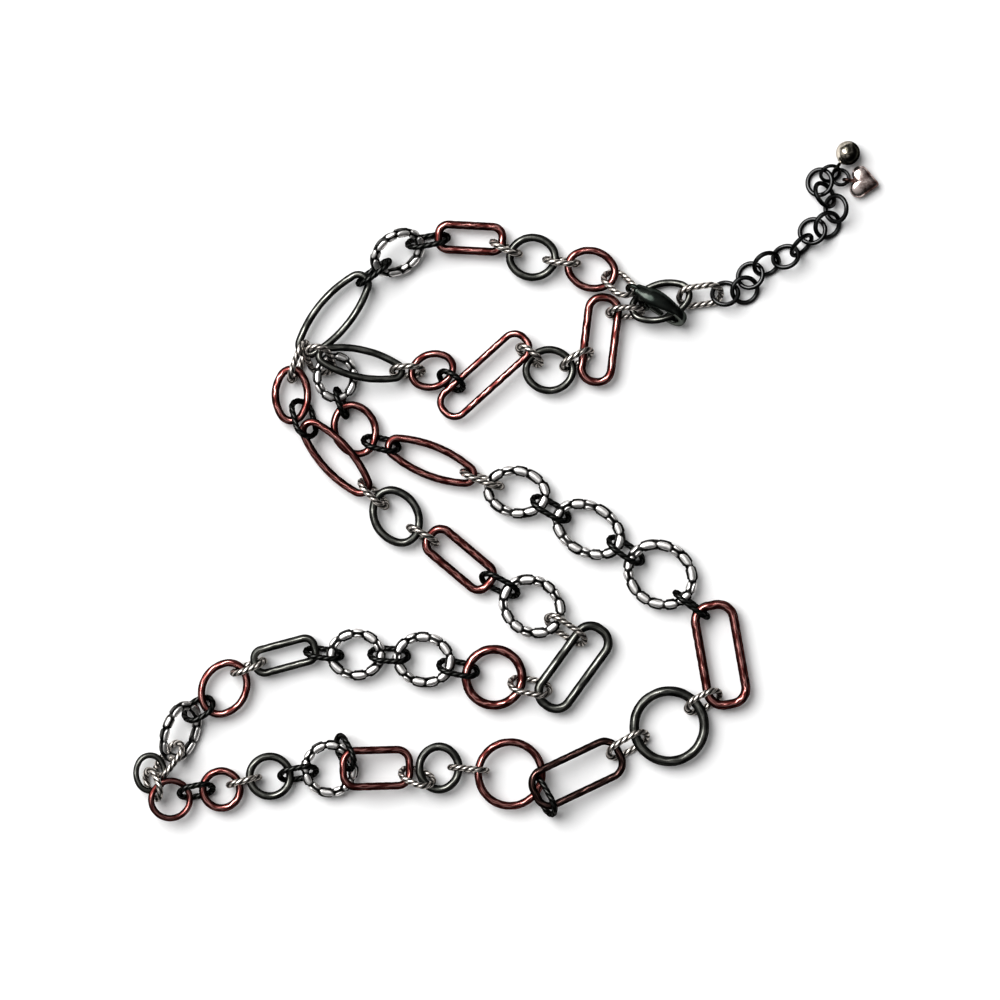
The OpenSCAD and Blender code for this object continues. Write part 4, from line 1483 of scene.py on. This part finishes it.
@dataclass
class Studio:
    """Pale floor, soft light and the camera straight above. Lengths are in metres."""

    floor_size: float = 3.0
    floor_color: Color = (0.9, 0.9, 0.9)
    centre: tuple[float, float] = (-0.0015, -0.0046)
    camera_height: float = 1.2
    view_width: float = 0.25
    sensor: float = 36.0
    key_place: tuple[float, float, float] = (-1.5, 1.25, 2.5)
    key_size: float = 3.0
    key_power: float = 146.0
    sky_dark: float = 0.03
    sky_bright: float = 0.6
    gamma: float = 0.85

    def floor(self) -> None:
        """Lays the floor."""
        mesh = bmesh.new()
        bmesh.ops.create_grid(mesh, x_segments=1, y_segments=1, size=self.floor_size / 2)
        data = bpy.data.meshes.new("floor")
        mesh.to_mesh(data)
        mesh.free()
        material = bpy.data.materials.new("pale_floor")
        material.use_nodes = True
        shader = material.node_tree.nodes["Principled BSDF"]
        shader.inputs["Base Color"].default_value = (*self.floor_color, 1.0)
        shader.inputs["Roughness"].default_value = 0.85
        shader.inputs["Specular IOR Level"].default_value = 0.2
        data.materials.append(material)
        floor = bpy.data.objects.new("floor", data)
        bpy.context.scene.collection.objects.link(floor)

    def light(self, name: str, place: tuple[float, float, float], size: float, power: float) -> None:
        """Hangs one round soft light that faces the middle of the picture.

        Args:
            name: Its name.
            place: Where it hangs.
            size: Diameter of its disc.
            power: Power in watts.
        """
        data = bpy.data.lights.new(name, "AREA")
        data.shape = "DISK"
        data.size = size
        data.energy = power
        lamp = bpy.data.objects.new(name, data)
        lamp.location = place
        lamp.rotation_euler = (-Vector(place)).to_track_quat("-Z", "Y").to_euler()
        bpy.context.scene.collection.objects.link(lamp)

    def build(self) -> None:
        """Builds the floor, the light, the sky and the camera."""
        scene = bpy.context.scene
        self.floor()
        self.light("key_light", self.key_place, self.key_size, self.key_power)
        world = bpy.data.worlds.new("soft_sky")
        world.use_nodes = True
        background = world.node_tree.nodes["Background"]
        background.inputs["Color"].default_value = (1.0, 1.0, 1.0, 1.0)
        nodes, links = world.node_tree.nodes, world.node_tree.links
        way = nodes.new("ShaderNodeTexCoord")
        facing = nodes.new("ShaderNodeVectorMath")
        facing.operation = "DOT_PRODUCT"
        facing.inputs[1].default_value = Vector(self.key_place).normalized()
        shade = nodes.new("ShaderNodeMapRange")
        shade.inputs["From Min"].default_value = 0.1
        shade.inputs["From Max"].default_value = 1.0
        shade.inputs["To Min"].default_value = self.sky_dark
        shade.inputs["To Max"].default_value = self.sky_bright
        links.new(way.outputs["Generated"], facing.inputs[0])
        links.new(facing.outputs["Value"], shade.inputs["Value"])
        links.new(shade.outputs["Result"], background.inputs["Strength"])
        scene.world = world
        scene.view_settings.view_transform = "Standard"
        scene.view_settings.gamma = self.gamma
        data = bpy.data.cameras.new("camera")
        data.sensor_width = self.sensor
        data.lens = self.sensor * self.camera_height / self.view_width
        data.clip_start = 0.01
        camera = bpy.data.objects.new("camera", data)
        camera.location = (*self.centre, self.camera_height)
        scene.collection.objects.link(camera)
        scene.camera = camera


def corners(box: tuple[Vector, Vector]) -> list[list[float]]:
    """Corners of a box as plain lists."""
    return [list(corner) for corner in box]


def main() -> None:
    """Builds every piece in order, logs the triangle count and sets up the studio."""
    logging.basicConfig(level=logging.INFO, format="%(message)s")
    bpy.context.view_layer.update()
    shop = Workshop()
    for group in (MainLinks(), Connectors(), Clasp(), Extender(), Charms()):
        group.build(shop)
    LOG.info("whole object: %d triangles", shop.triangles)
    Studio().build()


if __name__ == "__main__":
    main()
